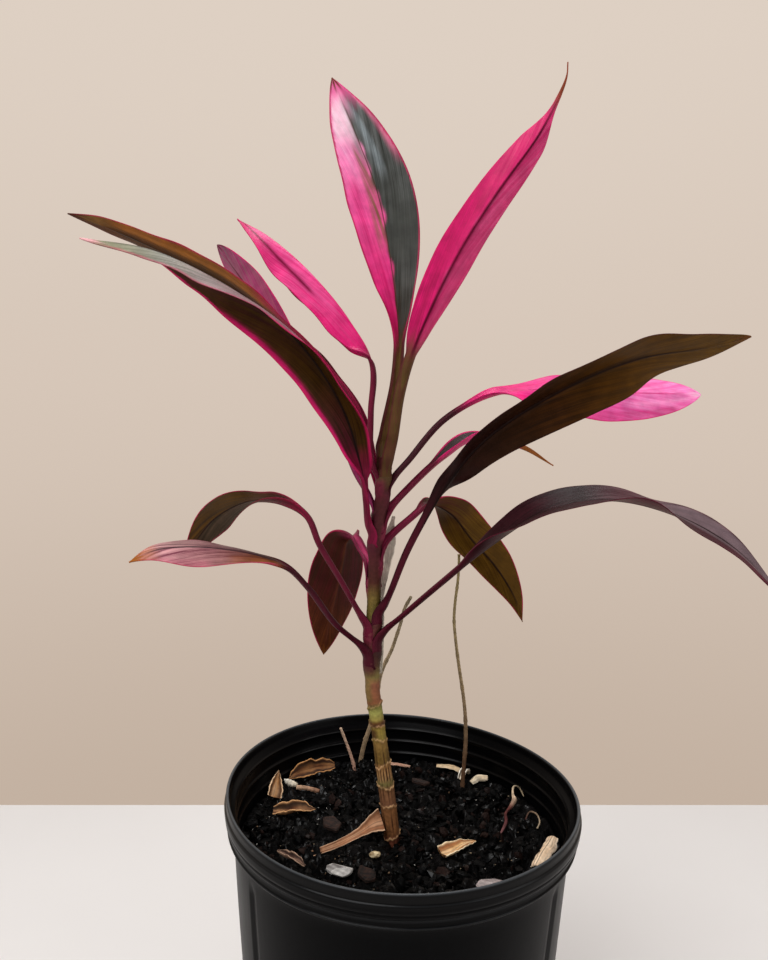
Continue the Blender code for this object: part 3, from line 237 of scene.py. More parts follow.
# Each leaf's colours. "top" and "under" hold a list of stops for the side half and one for the other
# half: the share of the blade, the main colour and the colour of its streaks. "margin" is the edge's
# colour, its width, and its strength on the side half and on the other; "rib" is the midrib's colour
# and width, "petiole" the stem's colour and its ridges', and "tip" the dried tip's and where it starts.
# "patches" are painted over the rest: a colour, from and to across, from and to along, and how much of
# it goes into the main colour and into the streaks.
LOOKS = {
    "leaf_top_left": {
        "slot": "leaf_hot_pink", "veins": 0.25,
        "top": ([(0, HOT, MAGENTA), (0.25, srgb(252, 70, 158), HOT), (0.55, srgb(255, 100, 176), ROSE), (0.72, srgb(250, 130, 188), PALE_PINK),
                 (0.82, srgb(252, 196, 224), ROSE), (0.9, srgb(252, 200, 226), ROSE), (1, ROSE, PALE_PINK)],
                [(0, srgb(60, 44, 24), DARK_GREEN), (0.25, DARK_GREEN, GREY_GREEN), (0.6, srgb(84, 88, 86), DARK_GREEN),
                 (0.85, GREY, DARK_GREEN), (1, GREY, ROSE)]),
        "under": ([(0, HOT, MAGENTA), (1, ROSE, PALE_PINK)], [(0, PLUM, MAROON), (1, MAUVE, PLUM)]),
        # Painted highlights: the pale pink-white patch near the tip on the pink half, and the blue-grey patch on the
        # dark half
        "patches": [(srgb(240, 178, 206), -0.3, 0.3, 0.86, 0.97, 0.75, 0.5), (srgb(216, 110, 146), -1.1, -0.82, 0.66, 1.1, 0.9, 0.7), (srgb(150, 164, 170), -0.45, -0.2, 0.62, 0.9, 0.6, 0.2), (ROSE, -1.1, 1.1, 0.93, 1.1, 0.95, 0.6),
                    (srgb(128, 92, 66), 0.04, 0.34, 0.36, 0.74, 0.25, 0.95), (GREY, 0.0, 0.2, 0.68, 0.9, 0.5, 0.9),
                    (srgb(252, 220, 236), 0.05, 0.85, 0.77, 0.91, 0.8, 0.7), (MAGENTA, 0.55, 0.8, 0.3, 0.6, 0.2, 0.8)],
        "margin": (srgb(186, 30, 88), 1.3, 0.9, 0.8), "rib": (srgb(70, 50, 36), 0.5),
        "petiole": (srgb(104, 84, 40), MAROON), "tip": (BROWN, 0.975)},
    "leaf_top_right": {
        "slot": "leaf_magenta", "veins": 0.3,
        "top": ([(0, MAGENTA, HOT), (1, HOT, ROSE)], [(0, MAGENTA, HOT), (1, HOT, ROSE)]),
        "under": ([(0, srgb(214, 70, 126), MAGENTA), (0.5, srgb(220, 84, 140), srgb(200, 44, 108)), (1, srgb(224, 84, 138), MAGENTA)],
                  [(0, DEEP_MAGENTA, MAGENTA), (0.5, srgb(190, 28, 92), MAGENTA), (0.75, srgb(222, 72, 124), MAGENTA),
                   (1, srgb(226, 96, 134), MAGENTA)]),
        "patches": [(srgb(120, 12, 56), 0.0, 0.12, 0.0, 0.8, 0.4, 0.4), (HOT, -0.2, -0.02, 0.1, 0.9, 0.3, 0.3)],
        "margin": (srgb(214, 60, 120), 0.5, 0.5, 0.5), "rib": (srgb(84, 6, 36), 0.6),
        "petiole": (srgb(92, 72, 38), MAROON), "tip": (srgb(138, 66, 44), 0.88)},
    "leaf_pink_left": {
        "slot": "leaf_hot_pink", "veins": 0.2,
        "top": ([(0, HOT, MAGENTA), (0.5, HOT, ROSE), (1, HOT, MAGENTA)], [(0, MAGENTA, HOT), (1, MAGENTA, HOT)]),
        "under": ([(0, HOT, MAGENTA), (1, HOT, MAGENTA)], [(0, HOT, MAGENTA), (1, HOT, MAGENTA)]),
        # Painted shade: the two dark lanes halfway out on each half lie along the leaf's fold lines
        "patches": [(srgb(112, 6, 50), 0.42, 0.58, 0.42, 1.0, 1, 1), (srgb(112, 6, 50), -0.58, -0.42, 0.42, 1.0, 1, 1),
                    (ROSE, 0.1, 0.4, 0.3, 0.9, 0.3, 0.5)],
        "margin": (CRIMSON, 0.5, 0.6, 0.6), "rib": (MAGENTA, 0.6), "petiole": (srgb(122, 30, 60), MAROON),
        "tip": (MAGENTA, 0.97)},
    "leaf_back_left": {
        "slot": "leaf_magenta", "veins": 0.3,
        "top": ([(0, PLUM, MAGENTA), (1, PLUM, MAGENTA)], [(0, PLUM, MAGENTA), (1, PLUM, MAGENTA)]),
        "under": ([(0, PLUM, MAGENTA), (1, PLUM, MAUVE)], [(0, PLUM, MAGENTA), (1, PLUM, MAUVE)]),
        "patches": [], "margin": (HOT, 0.7, 0.8, 0.8), "rib": (MAROON, 0.5), "petiole": (MAROON, PLUM),
        "tip": (MAROON, 0.985)},
    "leaf_long_left": {
        "slot": "leaf_olive", "veins": 0.3,
        "top": ([(0, DARK_OLIVE, NEAR_BLACK), (1, OLIVE, DARK_OLIVE)], [(0, DARK_OLIVE, NEAR_BLACK), (1, OLIVE, BROWN)]),
        # Painted light and shade: the side half is painted a lighter orange-brown and the other half near black, as one
        # half is lit and the other shaded
        "under": ([(0, MAROON, DARK_OLIVE), (0.3, OLIVE, MAROON), (0.5, srgb(104, 64, 22), OLIVE), (0.8, srgb(112, 72, 26), BROWN),
                   (0.92, srgb(132, 106, 58), BROWN), (1, BROWN, DARK_OLIVE)],
                  [(0, DARK_MAROON, MAROON), (0.3, NEAR_BLACK, DARK_MAROON), (0.6, NEAR_BLACK, OLIVE),
                   (0.85, DARK_OLIVE, BROWN), (1, BROWN, DARK_OLIVE)]),
        "patches": [(srgb(160, 96, 34), 0.42, 1.1, 0.3, 0.84, 0.8, 0.5), (srgb(214, 150, 76), 0.52, 0.6, 0.34, 0.8, 0.7, 0.5),
                    (CRIMSON, 0.6, 1.1, 0.0, 0.36, 0.45, 0.6), (NEAR_BLACK, -0.1, 0.25, 0.2, 0.86, 0.6, 0.4),
                    (CRIMSON, 0.92, 1.1, 0.3, 0.7, 0.4, 0.6)],
        "margin": (CRIMSON, 0.6, 0.6, 0.6), "rib": (DARK_OLIVE, 0.5), "petiole": (MAROON, srgb(140, 24, 64)),
        "tip": (srgb(70, 28, 14), 0.965)},
    "leaf_near_left": {
        "slot": "leaf_olive", "veins": 0.25,
        "top": ([(0, MAROON, CRIMSON), (0.1, DARK_OLIVE, MAROON), (0.3, srgb(48, 28, 12), OLIVE), (1, MAROON, OLIVE)],
                [(0, MAROON, CRIMSON), (0.1, DARK_OLIVE, OLIVE), (1, OLIVE, DARK_OLIVE)]),
        # Painted sheen: towards the tip the under face turns grey-mauve, then grey-green, for the light the glossy leaf
        # reflects
        "under": ([(0, MAROON, CRIMSON), (0.35, MAUVE, PLUM), (0.8, srgb(100, 98, 84), MAUVE), (0.95, srgb(130, 128, 100), MAUVE),
                   (1, srgb(214, 160, 160), ROSE)],
                  [(0, MAROON, CRIMSON), (0.35, srgb(104, 88, 90), PLUM), (0.8, srgb(94, 92, 80), srgb(134, 132, 122)),
                   (0.95, srgb(124, 126, 98), srgb(152, 150, 122)), (1, srgb(214, 160, 160), ROSE)]),
        "patches": [(HOT, 0.84, 1.1, 0.04, 0.6, 0.6, 0.9), (CRIMSON, -1.1, -0.86, 0.0, 0.5, 0.6, 0.9)],
        "margin": (srgb(206, 34, 100), 1.8, 1.0, 0.35), "rib": (NEAR_BLACK, 0.9), "petiole": (MAROON, srgb(136, 24, 64)),
        "tip": (srgb(222, 170, 172), 0.97)},
    "leaf_large_right": {
        "slot": "leaf_olive", "veins": 0.35,
        "top": ([(0, DARK_OLIVE, OLIVE), (1, OLIVE, DARK_GREEN)], [(0, DARK_OLIVE, OLIVE), (1, OLIVE, DARK_GREEN)]),
        "under": ([(0, DARK_MAROON, NEAR_BLACK), (0.3, srgb(44, 22, 12), DARK_OLIVE), (0.5, srgb(74, 42, 12), DARK_OLIVE),
                   (0.7, srgb(92, 58, 10), OLIVE), (1, srgb(108, 76, 10), OLIVE)],
                  [(0, DARK_MAROON, NEAR_BLACK), (0.3, srgb(44, 22, 14), NEAR_BLACK), (0.5, srgb(62, 34, 14), DARK_OLIVE),
                   (0.7, srgb(86, 54, 12), OLIVE), (1, srgb(108, 76, 14), OLIVE)]),
        "patches": [(NEAR_BLACK, -0.16, 0.0, 0.1, 0.75, 0.7, 0.5)],
        "margin": (MAROON, 0.4, 0.5, 0.5), "rib": (NEAR_BLACK, 0.8), "petiole": (MAROON, DARK_MAROON),
        "tip": (BROWN, 0.985)},
    "leaf_pink_right": {
        "slot": "leaf_hot_pink", "veins": 0.5,
        "top": ([(0, MAROON, HOT), (0.25, srgb(236, 62, 146), HOT), (0.6, srgb(250, 126, 198), HOT), (1, srgb(250, 172, 220), srgb(240, 104, 178))],
                [(0, MAROON, HOT), (0.25, srgb(232, 60, 142), HOT), (0.6, srgb(244, 120, 192), srgb(212, 60, 138)),
                 (1, srgb(248, 160, 214), srgb(224, 84, 158))]),
        "under": ([(0, MAGENTA, HOT), (1, HOT, ROSE)], [(0, MAGENTA, HOT), (1, HOT, ROSE)]),
        "patches": [(PALE_PINK, -0.5, -0.3, 0.7, 0.96, 0.25, 0.5), (srgb(196, 30, 108), -1.1, -0.66, 0.4, 0.9, 0.5, 0.6),
                    (srgb(222, 214, 214), -0.4, 0.4, 0.98, 1.1, 0.9, 0.9)],
        "margin": (HOT, 0.6, 0.8, 0.8), "rib": (MAGENTA, 0.5), "petiole": (MAROON, DARK_MAROON), "tip": (PALE_PINK, 0.99)},
    "leaf_curled_right": {
        "slot": "leaf_hot_pink", "veins": 0.3,
        "top": ([(0, MAROON, GREY_GREEN), (1, GREY_GREEN, DUSKY)], [(0, DARK_GREEN, GREY_GREEN), (1, DARK_GREEN, BROWN)]),
        "under": ([(0, CRIMSON, MAROON), (0.4, ROSE, HOT), (1, ROSE, BROWN)],
                  [(0, CRIMSON, MAROON), (0.4, ROSE, HOT), (1, ROSE, BROWN)]),
        "patches": [], "margin": (HOT, 1.2, 0.9, 0.9), "rib": (MAROON, 0.5), "petiole": (srgb(150, 40, 76), MAROON),
        "tip": (srgb(146, 84, 34), 0.7)},
    "leaf_hanging_right": {
        "slot": "leaf_olive", "veins": 0.35,
        "top": ([(0, DARK_GREEN, OLIVE), (1, DARK_GREEN, OLIVE)], [(0, DARK_GREEN, OLIVE), (1, DARK_GREEN, OLIVE)]),
        "under": ([(0, DARK_MAROON, DARK_OLIVE), (0.4, OLIVE, OLIVE_LIGHT), (1, OLIVE, OLIVE_LIGHT)],
                  [(0, MAROON, OLIVE), (0.35, OLIVE, OLIVE_LIGHT), (1, OLIVE_LIGHT, OLIVE)]),
        "patches": [], "margin": (CRIMSON, 0.7, 0.9, 0.9), "rib": (NEAR_BLACK, 0.6), "petiole": (srgb(160, 44, 84), MAROON),
        "tip": (BROWN, 0.97)},
    "leaf_arching_right": {
        "slot": "leaf_maroon", "veins": 0.35,
        # The leaf's own colour is the dark maroon; from halfway along, the lighter grey-mauve of the top and the
        # grey-mauve patch are a painted sheen
        "top": ([(0, DARK_MAROON, NEAR_BLACK), (0.3, srgb(20, 7, 9), DARK_MAROON), (0.4, srgb(30, 14, 16), NEAR_BLACK),
                 (0.5, srgb(104, 78, 82), DARK_MAROON), (0.7, srgb(118, 92, 96), DUSKY), (1, srgb(118, 94, 100), DUSKY)],
                [(0, DARK_MAROON, NEAR_BLACK), (0.3, NEAR_BLACK, DARK_MAROON), (0.6, DARK_MAROON, DUSKY), (1, DUSKY, MAROON)]),
        "under": ([(0, DARK_MAROON, NEAR_BLACK), (0.5, DARK_MAROON, MAROON), (1, MAROON, DARK_MAROON)],
                  [(0, DARK_MAROON, NEAR_BLACK), (0.5, DARK_MAROON, MAROON), (1, MAROON, DARK_MAROON)]),
        "patches": [(srgb(116, 100, 106), -0.3, 0.9, 0.62, 1.1, 0.5, 0.6)],
        "margin": (MAROON, 0.5, 0.5, 0.8), "rib": (NEAR_BLACK, 0.7), "petiole": (DARK_MAROON, MAROON),
        "tip": (MAROON, 0.97)},
    "leaf_arching_left": {
        "slot": "leaf_olive", "veins": 0.45,
        "top": ([(0, MAROON, DUSKY), (0.25, srgb(70, 54, 46), srgb(46, 38, 30)), (0.7, srgb(66, 50, 38), srgb(40, 32, 22)),
                 (1, srgb(42, 34, 24), DARK_OLIVE)],
                [(0, MAROON, CRIMSON), (0.2, srgb(72, 34, 32), DARK_OLIVE), (0.5, srgb(50, 38, 26), OLIVE), (1, DARK_OLIVE, OLIVE)]),
        "under": ([(0, MAROON, CRIMSON), (0.4, DARK_OLIVE, OLIVE), (1, OLIVE, DARK_OLIVE)],
                  [(0, MAROON, CRIMSON), (0.4, DARK_OLIVE, OLIVE), (1, OLIVE, DARK_OLIVE)]),
        "patches": [(srgb(110, 34, 48), -1.1, -0.8, 0.0, 0.4, 0.4, 0.6)],
        "margin": (CRIMSON, 0.7, 0.3, 0.8), "rib": (NEAR_BLACK, 0.6), "petiole": (srgb(112, 30, 54), MAROON),
        "tip": (BROWN, 0.98)},
    "leaf_lowest_left": {
        "slot": "leaf_maroon", "veins": 0.85,
        "top": ([(0, OLIVE, BROWN), (0.2, srgb(92, 48, 40), BROWN), (0.5, srgb(96, 38, 54), srgb(184, 130, 132)),
                 (0.8, srgb(116, 50, 72), srgb(210, 154, 158)), (1, ORANGE_BROWN, DUSTY_PINK)],
                [(0, OLIVE, DARK_OLIVE), (0.2, srgb(72, 40, 36), DUSKY), (0.5, srgb(82, 42, 50), srgb(150, 112, 112)),
                 (0.8, srgb(112, 64, 72), srgb(186, 142, 142)), (1, ORANGE_BROWN, DUSTY_PINK)]),
        "under": ([(0, OLIVE, BROWN), (0.2, srgb(74, 42, 32), BROWN), (0.5, srgb(84, 42, 44), srgb(150, 92, 94)),
                   (0.8, srgb(128, 62, 78), srgb(190, 136, 140)), (1, ORANGE_BROWN, DUSTY_PINK)],
                  [(0, OLIVE, DARK_OLIVE), (0.2, srgb(64, 40, 30), DUSKY), (0.5, srgb(74, 42, 42), MAUVE),
                   (0.8, srgb(116, 66, 72), srgb(180, 134, 136)), (1, ORANGE_BROWN, DUSTY_PINK)]),
        "patches": [(srgb(176, 70, 104), 0.7, 1.1, 0.5, 1.0, 0.4, 0.3), (ORANGE_BROWN, -0.2, 1.1, -0.1, 0.06, 0.6, 0.6),
                    (srgb(176, 104, 66), 0.4, 1.1, 0.1, 0.36, 0.3, 0.3), (srgb(196, 130, 90), -1.1, 1.1, 0.84, 0.95, 0.5, 0.4)],
        "margin": (srgb(196, 70, 100), 0.6, 0.8, 0.4), "rib": (DUSKY, 0.6), "petiole": (MAROON, DARK_MAROON),
        "tip": (ORANGE_BROWN, 0.93)},
    "leaf_hanging_left": {
        "slot": "leaf_olive", "veins": 0.3,
        "top": ([(0, DARK_GREEN, OLIVE), (1, DARK_GREEN, OLIVE)], [(0, DARK_GREEN, OLIVE), (1, DARK_GREEN, OLIVE)]),
        "under": ([(0, srgb(62, 34, 20), srgb(72, 26, 24)), (0.5, srgb(60, 30, 18), srgb(76, 24, 26)), (1, srgb(80, 34, 18), BROWN)],
                  [(0, srgb(58, 32, 18), srgb(72, 26, 24)), (0.5, srgb(54, 28, 14), srgb(76, 24, 26)), (1, srgb(80, 34, 18), BROWN)]),
        "patches": [(MAROON, -0.9, -0.4, 0.1, 0.6, 0.25, 0.3)],
        "margin": (CRIMSON, 0.8, 0.9, 0.9), "rib": (srgb(96, 52, 36), 0.6), "petiole": (srgb(180, 60, 104), MAROON),
        "tip": (BROWN, 0.95)},
}


# ---- lines and shapes that the solids share

def smooth_line(points, steps=LINE_STEPS):
    """A Catmull-Rom curve through points, as a dense line; the steps of each span are equal in number."""
    knots = np.array(points, float)
    knots = np.vstack([2 * knots[0] - knots[1], knots, 2 * knots[-1] - knots[-2]])
    gaps = np.sqrt(np.linalg.norm(np.diff(knots, axis=0), axis=1))
    when = np.concatenate([[0], np.cumsum(gaps)])
    line = []
    for i in range(1, len(knots) - 2):
        t = np.linspace(when[i], when[i + 1], steps, endpoint=False)[:, None]
        t0, t1, t2, t3 = when[i - 1:i + 3]
        p0, p1, p2, p3 = knots[i - 1:i + 3]
        a1 = ((t1 - t) * p0 + (t - t0) * p1) / (t1 - t0)
        a2 = ((t2 - t) * p1 + (t - t1) * p2) / (t2 - t1)
        a3 = ((t3 - t) * p2 + (t - t2) * p3) / (t3 - t2)
        b1 = ((t2 - t) * a1 + (t - t0) * a2) / (t2 - t0)
        b2 = ((t3 - t) * a2 + (t - t1) * a3) / (t3 - t1)
        line.append(((t2 - t) * b1 + (t - t1) * b2) / (t2 - t1))
    line.append(knots[-2][None, :])
    return np.vstack(line)


def at_distances(line, distances):
    """The points of a line at distances from its start."""
    run = np.concatenate([[0], np.cumsum(np.linalg.norm(np.diff(line, axis=0), axis=1))])
    return np.stack([np.interp(distances, run, line[:, axis]) for axis in range(3)], 1)


def length_of(line):
    """The length of a line."""
    return float(np.linalg.norm(np.diff(line, axis=0), axis=1).sum())


def eased(where, knots):
    """A value that eases smoothly from knot to knot; knots are (place, value) pairs."""
    places, values = np.array(knots, float).T
    where = np.clip(where, places[0], places[-1])
    span = np.clip(np.searchsorted(places, where, side="right") - 1, 0, len(places) - 2)
    share = (where - places[span]) / (places[span + 1] - places[span])
    return values[span] + (values[span + 1] - values[span]) * share * share * (3 - 2 * share)


def smooth_step(value, low, high):
    """0 below low, 1 above high, and 3t^2 - 2t^3 between them."""
    t = np.clip((value - low) / (high - low), 0, 1)
    return t * t * (3 - 2 * t)


def cane_point(height):
    """The cane's middle at a height."""
    across, along, up = np.array(CANE_LINE, float).T
    return np.array([np.interp(height, up, across), np.interp(height, up, along), height])


def cane_radius(height):
    """The cane's radius at a height, with a low ring at each leaf scar."""
    places, radii = np.array(CANE_RADII, float).T
    radius = np.interp(height, places, radii)
    for ring in CANE_RINGS:
        radius = radius + CANE_RING_RELIEF * np.clip(1 - np.abs(height - ring) / CANE_RING_HALF_HEIGHT, 0, 1)
    return radius


def soil_height(x, y):
    """The height of the soil: a slope that rises to the back, with three crossing sets of lumps."""
    lumps = np.sin(x / 7.1 + 1.3 * np.sin(y / 11)) * np.cos(y / 8.3 + 0.4)
    lumps = lumps + 0.6 * np.sin((x + y) / 5.7 + 2) + 0.5 * np.cos((x - 1.4 * y) / 9.1)
    edge = np.clip((112 - np.hypot(x, y)) / 25, 0, 1)
    return SOIL_LEVEL + SOIL_RISE * y + SOIL_LUMP * edge * lumps


def pot_outer_radius(height):
    """The radius of the tapered wall's outside at a height."""
    share = (height - POT_FOOT_ROUND) / (POT_WALL_TOP - POT_FOOT_ROUND)
    return POT_BASE_RADIUS + share * (POT_WALL_TOP_RADIUS - POT_BASE_RADIUS)


def out_of_round(points):
    """The pot's squeeze: the radius grows and shrinks twice, and a little three times, round the rim."""
    turn = np.arctan2(points[..., 1], points[..., 0])
    fade = np.clip(points[..., 2] / POT_HEIGHT, 0, 1) ** 2
    twice = POT_SQUEEZE * np.cos(2 * (turn - math.radians(POT_SQUEEZE_TURN)))
    stretch = 1 + fade * (twice + POT_TRIANGLE_SQUEEZE * np.cos(3 * turn))
    return points * np.stack([stretch, stretch, np.ones_like(stretch)], -1)


# ---- meshes

def mesh_piece(name, points, quads, triangles, marks, finish, smooth=True):
    """A piece from arrays: points in millimetres, faces, and marks that its material reads."""
    mesh = bpy.data.meshes.new(name)
    mesh.vertices.add(len(points))
    mesh.vertices.foreach_set("co", (points * MM).astype(np.float32).ravel())
    corners = np.concatenate([quads.ravel(), triangles.ravel()]).astype(np.int32)
    starts = np.concatenate([np.arange(len(quads)) * 4, len(quads) * 4 + np.arange(len(triangles)) * 3])
    mesh.loops.add(len(corners))
    mesh.loops.foreach_set("vertex_index", corners)
    mesh.polygons.add(len(starts))
    mesh.polygons.foreach_set("loop_start", starts.astype(np.int32))
    mesh.polygons.foreach_set("use_smooth", np.full(len(starts), smooth))
    mesh.update(calc_edges=True)
    mesh.validate()
    for mark, values in marks.items():
        if values.ndim == 2:
            colours = np.hstack([values, np.ones((len(values), 1))]).astype(np.float32)
            mesh.attributes.new(mark, "FLOAT_COLOR", "POINT").data.foreach_set("color", colours.ravel())
        else:
            kept = mesh.attributes.new(mark, "FLOAT", "POINT")
            kept.data.foreach_set("value", values.astype(np.float32))
    mesh.materials.append(finish)
    made = bpy.data.objects.new(name, mesh)
    bpy.context.scene.collection.objects.link(made)
    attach(made, "root")
    return made


def loft(name, rings, marks, finish, smooth=True):
    """A closed piece from rings of points: faces between the rings and a fan at each end.

    rings is rows x loop x 3, and each mark has a value, or a colour, for each of its points. The faces
    are turned outwards if the volume, the sum of each face's corner products over 6, is negative.
    """
    rows, loop = rings.shape[:2]
    points = np.vstack([rings.reshape(-1, 3), rings[0].mean(0), rings[-1].mean(0)])
    row = np.arange(rows - 1)[:, None] * loop
    here, there = np.arange(loop)[None, :], (np.arange(loop)[None, :] + 1) % loop
    quads = np.stack([row + here, row + there, row + loop + there, row + loop + here], -1).reshape(-1, 4)
    here, there = here[0], there[0]
    last = (rows - 1) * loop
    first_fan = np.stack([np.full(loop, rows * loop), there, here], 1)
    last_fan = np.stack([np.full(loop, rows * loop + 1), last + here, last + there], 1)
    triangles = np.vstack([first_fan, last_fan])
    a, b, c, d = (points[quads[:, k]] for k in range(4))
    volume = np.einsum("ij,ij->", a, np.cross(b, c)) + np.einsum("ij,ij->", a, np.cross(c, d))
    e, f, g = (points[triangles[:, k]] for k in range(3))
    volume += np.einsum("ij,ij->", e, np.cross(f, g))
    if volume < 0:
        quads, triangles = quads[:, ::-1], triangles[:, ::-1]
    flat = {}
    for mark, values in marks.items():
        ends = np.stack([values[0].mean(0), values[-1].mean(0)])
        flat[mark] = np.concatenate([values.reshape(rows * loop, *values.shape[2:]), ends])
    return mesh_piece(name, points, quads, triangles, flat, finish, smooth)


# ---- shader maths

class Value:
    """A socket of a material, so that shader maths reads as arithmetic."""

    def __init__(self, sheet, socket):
        self.sheet = sheet
        self.socket = socket

    def maths(self, operation, *others):
        """A Math node on this value and others."""
        inputs = {place: value for place, value in enumerate((self, *others))}
        return self.sheet.node("ShaderNodeMath", {"operation": operation}, inputs)

    def __add__(self, other):
        return self.maths("ADD", other)

    def __sub__(self, other):
        return self.maths("SUBTRACT", other)

    def __mul__(self, other):
        return self.maths("MULTIPLY", other)

    def __rsub__(self, other):
        return self.sheet.node("ShaderNodeMath", {"operation": "SUBTRACT"}, {0: other, 1: self})

    __radd__, __rmul__ = __add__, __mul__

    def power(self, exponent):
        """This value to a power."""
        return self.maths("POWER", exponent)

    def size(self):
        """This value without its sign."""
        return self.maths("ABSOLUTE")

    def step(self, low, high):
        """0 below low, 1 above high, eased between."""
        inputs = {0: self, 1: low, 2: high, 3: 0.0, 4: 1.0}
        return self.sheet.node("ShaderNodeMapRange", {"interpolation_type": "SMOOTHSTEP"}, inputs)


class Sheet:
    """The nodes of a material, or of the room's light."""

    def __init__(self, owner, shader, **fixed):
        owner.use_nodes = True
        self.owner = owner
        self.nodes = owner.node_tree.nodes
        self.links = owner.node_tree.links
        self.shader = self.nodes[shader]
        for socket, value in fixed.items():
            self.shader.inputs[socket.replace("_", " ")].default_value = value

    def plug(self, socket, value):
        """Links a value to a socket, or sets the socket to a number or a colour."""
        if isinstance(value, Value):
            self.links.new(value.socket, socket)
        elif isinstance(value, np.ndarray):
            socket.default_value = (*value, 1)
        else:
            socket.default_value = value

    def node(self, kind, settings=None, inputs=None, out=0):
        """A node of a kind: its settings come first, then the values or links of its sockets."""
        made = self.nodes.new(kind)
        for setting, value in (settings or {}).items():
            setattr(made, setting, value)
        for place, value in (inputs or {}).items():
            self.plug(made.inputs[place], value)
        return Value(self, made.outputs[out])

    def mark(self, name, out=2):
        """A mark that the mesh carries: a number, or with out=0 a colour."""
        return self.node("ShaderNodeAttribute", {"attribute_name": name}, out=out)

    def place(self):
        """The point's own coordinates, in metres."""
        return self.node("ShaderNodeTexCoord", out=3)

    def point(self, x, y, z):
        """A vector from three values."""
        return self.node("ShaderNodeCombineXYZ", inputs={0: x, 1: y, 2: z})

    def noise(self, vector, scale=1.0, detail=3.0, roughness=0.5):
        """Fractal noise from 0 to 1."""
        inputs = {"Vector": vector, "Scale": scale, "Detail": detail, "Roughness": roughness}
        return self.node("ShaderNodeTexNoise", inputs=inputs)

    def mix(self, share, first, second, blend="MIX"):
        """A colour between two others."""
        settings = {"data_type": "RGBA", "blend_type": blend}
        return self.node("ShaderNodeMix", settings, {0: share, 6: first, 7: second}, out=2)

    def bump(self, height, strength, distance):
        """A bump from a height between 0 and 1."""
        inputs = {"Height": height, "Strength": strength, "Distance": distance * MM}
        return self.node("ShaderNodeBump", inputs=inputs)

    def wear(self, **sockets):
        """Plugs values into the shader and gives the finished material."""
        for socket, value in sockets.items():
            self.plug(self.shader.inputs[socket.replace("_", " ")], value)
        return self.owner


def skin(name, **fixed):
    """An empty material's sheet."""
    return Sheet(bpy.data.materials.new(name), "Principled BSDF", **fixed)


def leaf_finish(name, rough, sheen):
    """A leaf's skin: its painted colours, streaked along slanting veins, with a ragged margin.

    The veins leave the midrib at a low slope, so a vein keeps the distance from the midrib less a
    share of the way along. The margin's colour goes in as far as its width, shortened and lengthened
    by the same streaks.
    """
    sheet = skin(name, Coat_Roughness=0.25, Specular_IOR_Level=0.06)
    along, across, top = sheet.mark("along"), sheet.mark("across"), sheet.mark("top")
    lane = across.size() - along * 0.16
    broad = sheet.noise(sheet.point(along * 0.012, lane * 0.3, top * 9), detail=3.0, roughness=0.6)
    fine = sheet.noise(sheet.point(along * 0.02, lane * 1.3, top * 5), detail=2.0, roughness=0.6)
    spots = sheet.noise(sheet.point(along * 0.09, across * 0.09, top * 3), detail=4.0)
    share = (broad * 0.55 + fine * 0.45).step(0.34, 0.66)
    colour = sheet.mix(share, sheet.mark("tint", 0), sheet.mark("streaks", 0))
    vein = 1 - (fine - 0.5).size().step(0.0, 0.045)
    colour = sheet.mix(vein * sheet.mark("veins"), colour, sheet.mark("streaks", 0))
    ragged = sheet.mark("rim") + (fine - 0.5) * 2.0 + (broad - 0.5) * 1.6
    colour = sheet.mix((1 - ragged.step(0.45, 1.2)) * sheet.mark("edging"), colour, sheet.mark("edge", 0))
    shade = (fine * 0.35 + spots * 0.65).step(0.3, 0.7) * 0.42 + 0.78
    colour = sheet.mix(1.0, colour, sheet.point(shade, shade, shade), "MULTIPLY")
    height = fine * 0.6 + sheet.noise(sheet.point(along * 0.05, lane * 0.7, top * 2), detail=1.0) * 0.6
    return sheet.wear(Base_Color=colour, Roughness=spots * 0.25 + (rough - 0.12), Coat_Weight=spots * sheen,
                      Normal=sheet.bump(height, 0.4, 0.6))


def painted_finish(name, rough, grain_size, grain_depth, bump_distance, specular=0.2):
    """A dull natural skin: its painted colours, mottled by noise and roughened by a bump."""
    sheet = skin(name, Specular_IOR_Level=specular)
    place = sheet.place()
    grain = sheet.noise(place, 1000 / grain_size, 5.0, 0.65)
    broad = sheet.noise(place, 220 / grain_size, 3.0)
    shade = (grain * 0.65 + broad * 0.35).step(0.3, 0.7) * grain_depth + (1 - grain_depth * 0.5)
    colour = sheet.mix(1.0, sheet.mark("tint", 0), sheet.point(shade, shade, shade), "MULTIPLY")
    return sheet.wear(Base_Color=colour, Roughness=grain * 0.2 + (rough - 0.1),
                      Normal=sheet.bump(grain, 0.7, bump_distance))


def pot_finish():
    """Moulded black plastic: fine flow lines round it, faint upright scuffs, pale dust in places, and a painted
    highlight along the rim's edges.
    """
    sheet = skin("pot_plastic", Specular_IOR_Level=0.04, Coat_Roughness=0.16)
    place = sheet.place()
    around, height = sheet.mark("around"), sheet.mark("height")
    lines = sheet.noise(sheet.point(around * 3.0, height * 0.9, 0.0), 1.0, 3.0)
    scuffs = sheet.noise(sheet.point(around * 60.0, height * 0.03, 4.0), 1.0, 4.0, 0.7)
    speckle = sheet.noise(place, 900.0, 3.0, 0.6)
    cloud = sheet.noise(place, 18.0, 4.0, 0.6)
    dust = (speckle * 0.6 + cloud * 0.4).step(0.62, 0.8)
    # pale gathers real dust and faint scuffs, and the painted highlight: thin pale lines on the rim's edges
    pale = dust * 0.1 + scuffs.step(0.55, 0.8) * 0.02 + sheet.mark("rim_highlight_paint") * (cloud * 0.8 + 0.4)
    colour = sheet.mix(pale, srgb(4, 4, 5), srgb(90, 94, 98))
    return sheet.wear(Base_Color=colour, Roughness=dust * 0.25 + scuffs * 0.16 + cloud * 0.12 + 0.2,
                      Coat_Weight=sheet.mark("gloss") * 0.48, Normal=sheet.bump(lines * 0.6 + speckle * 0.4, 0.2, 0.15))


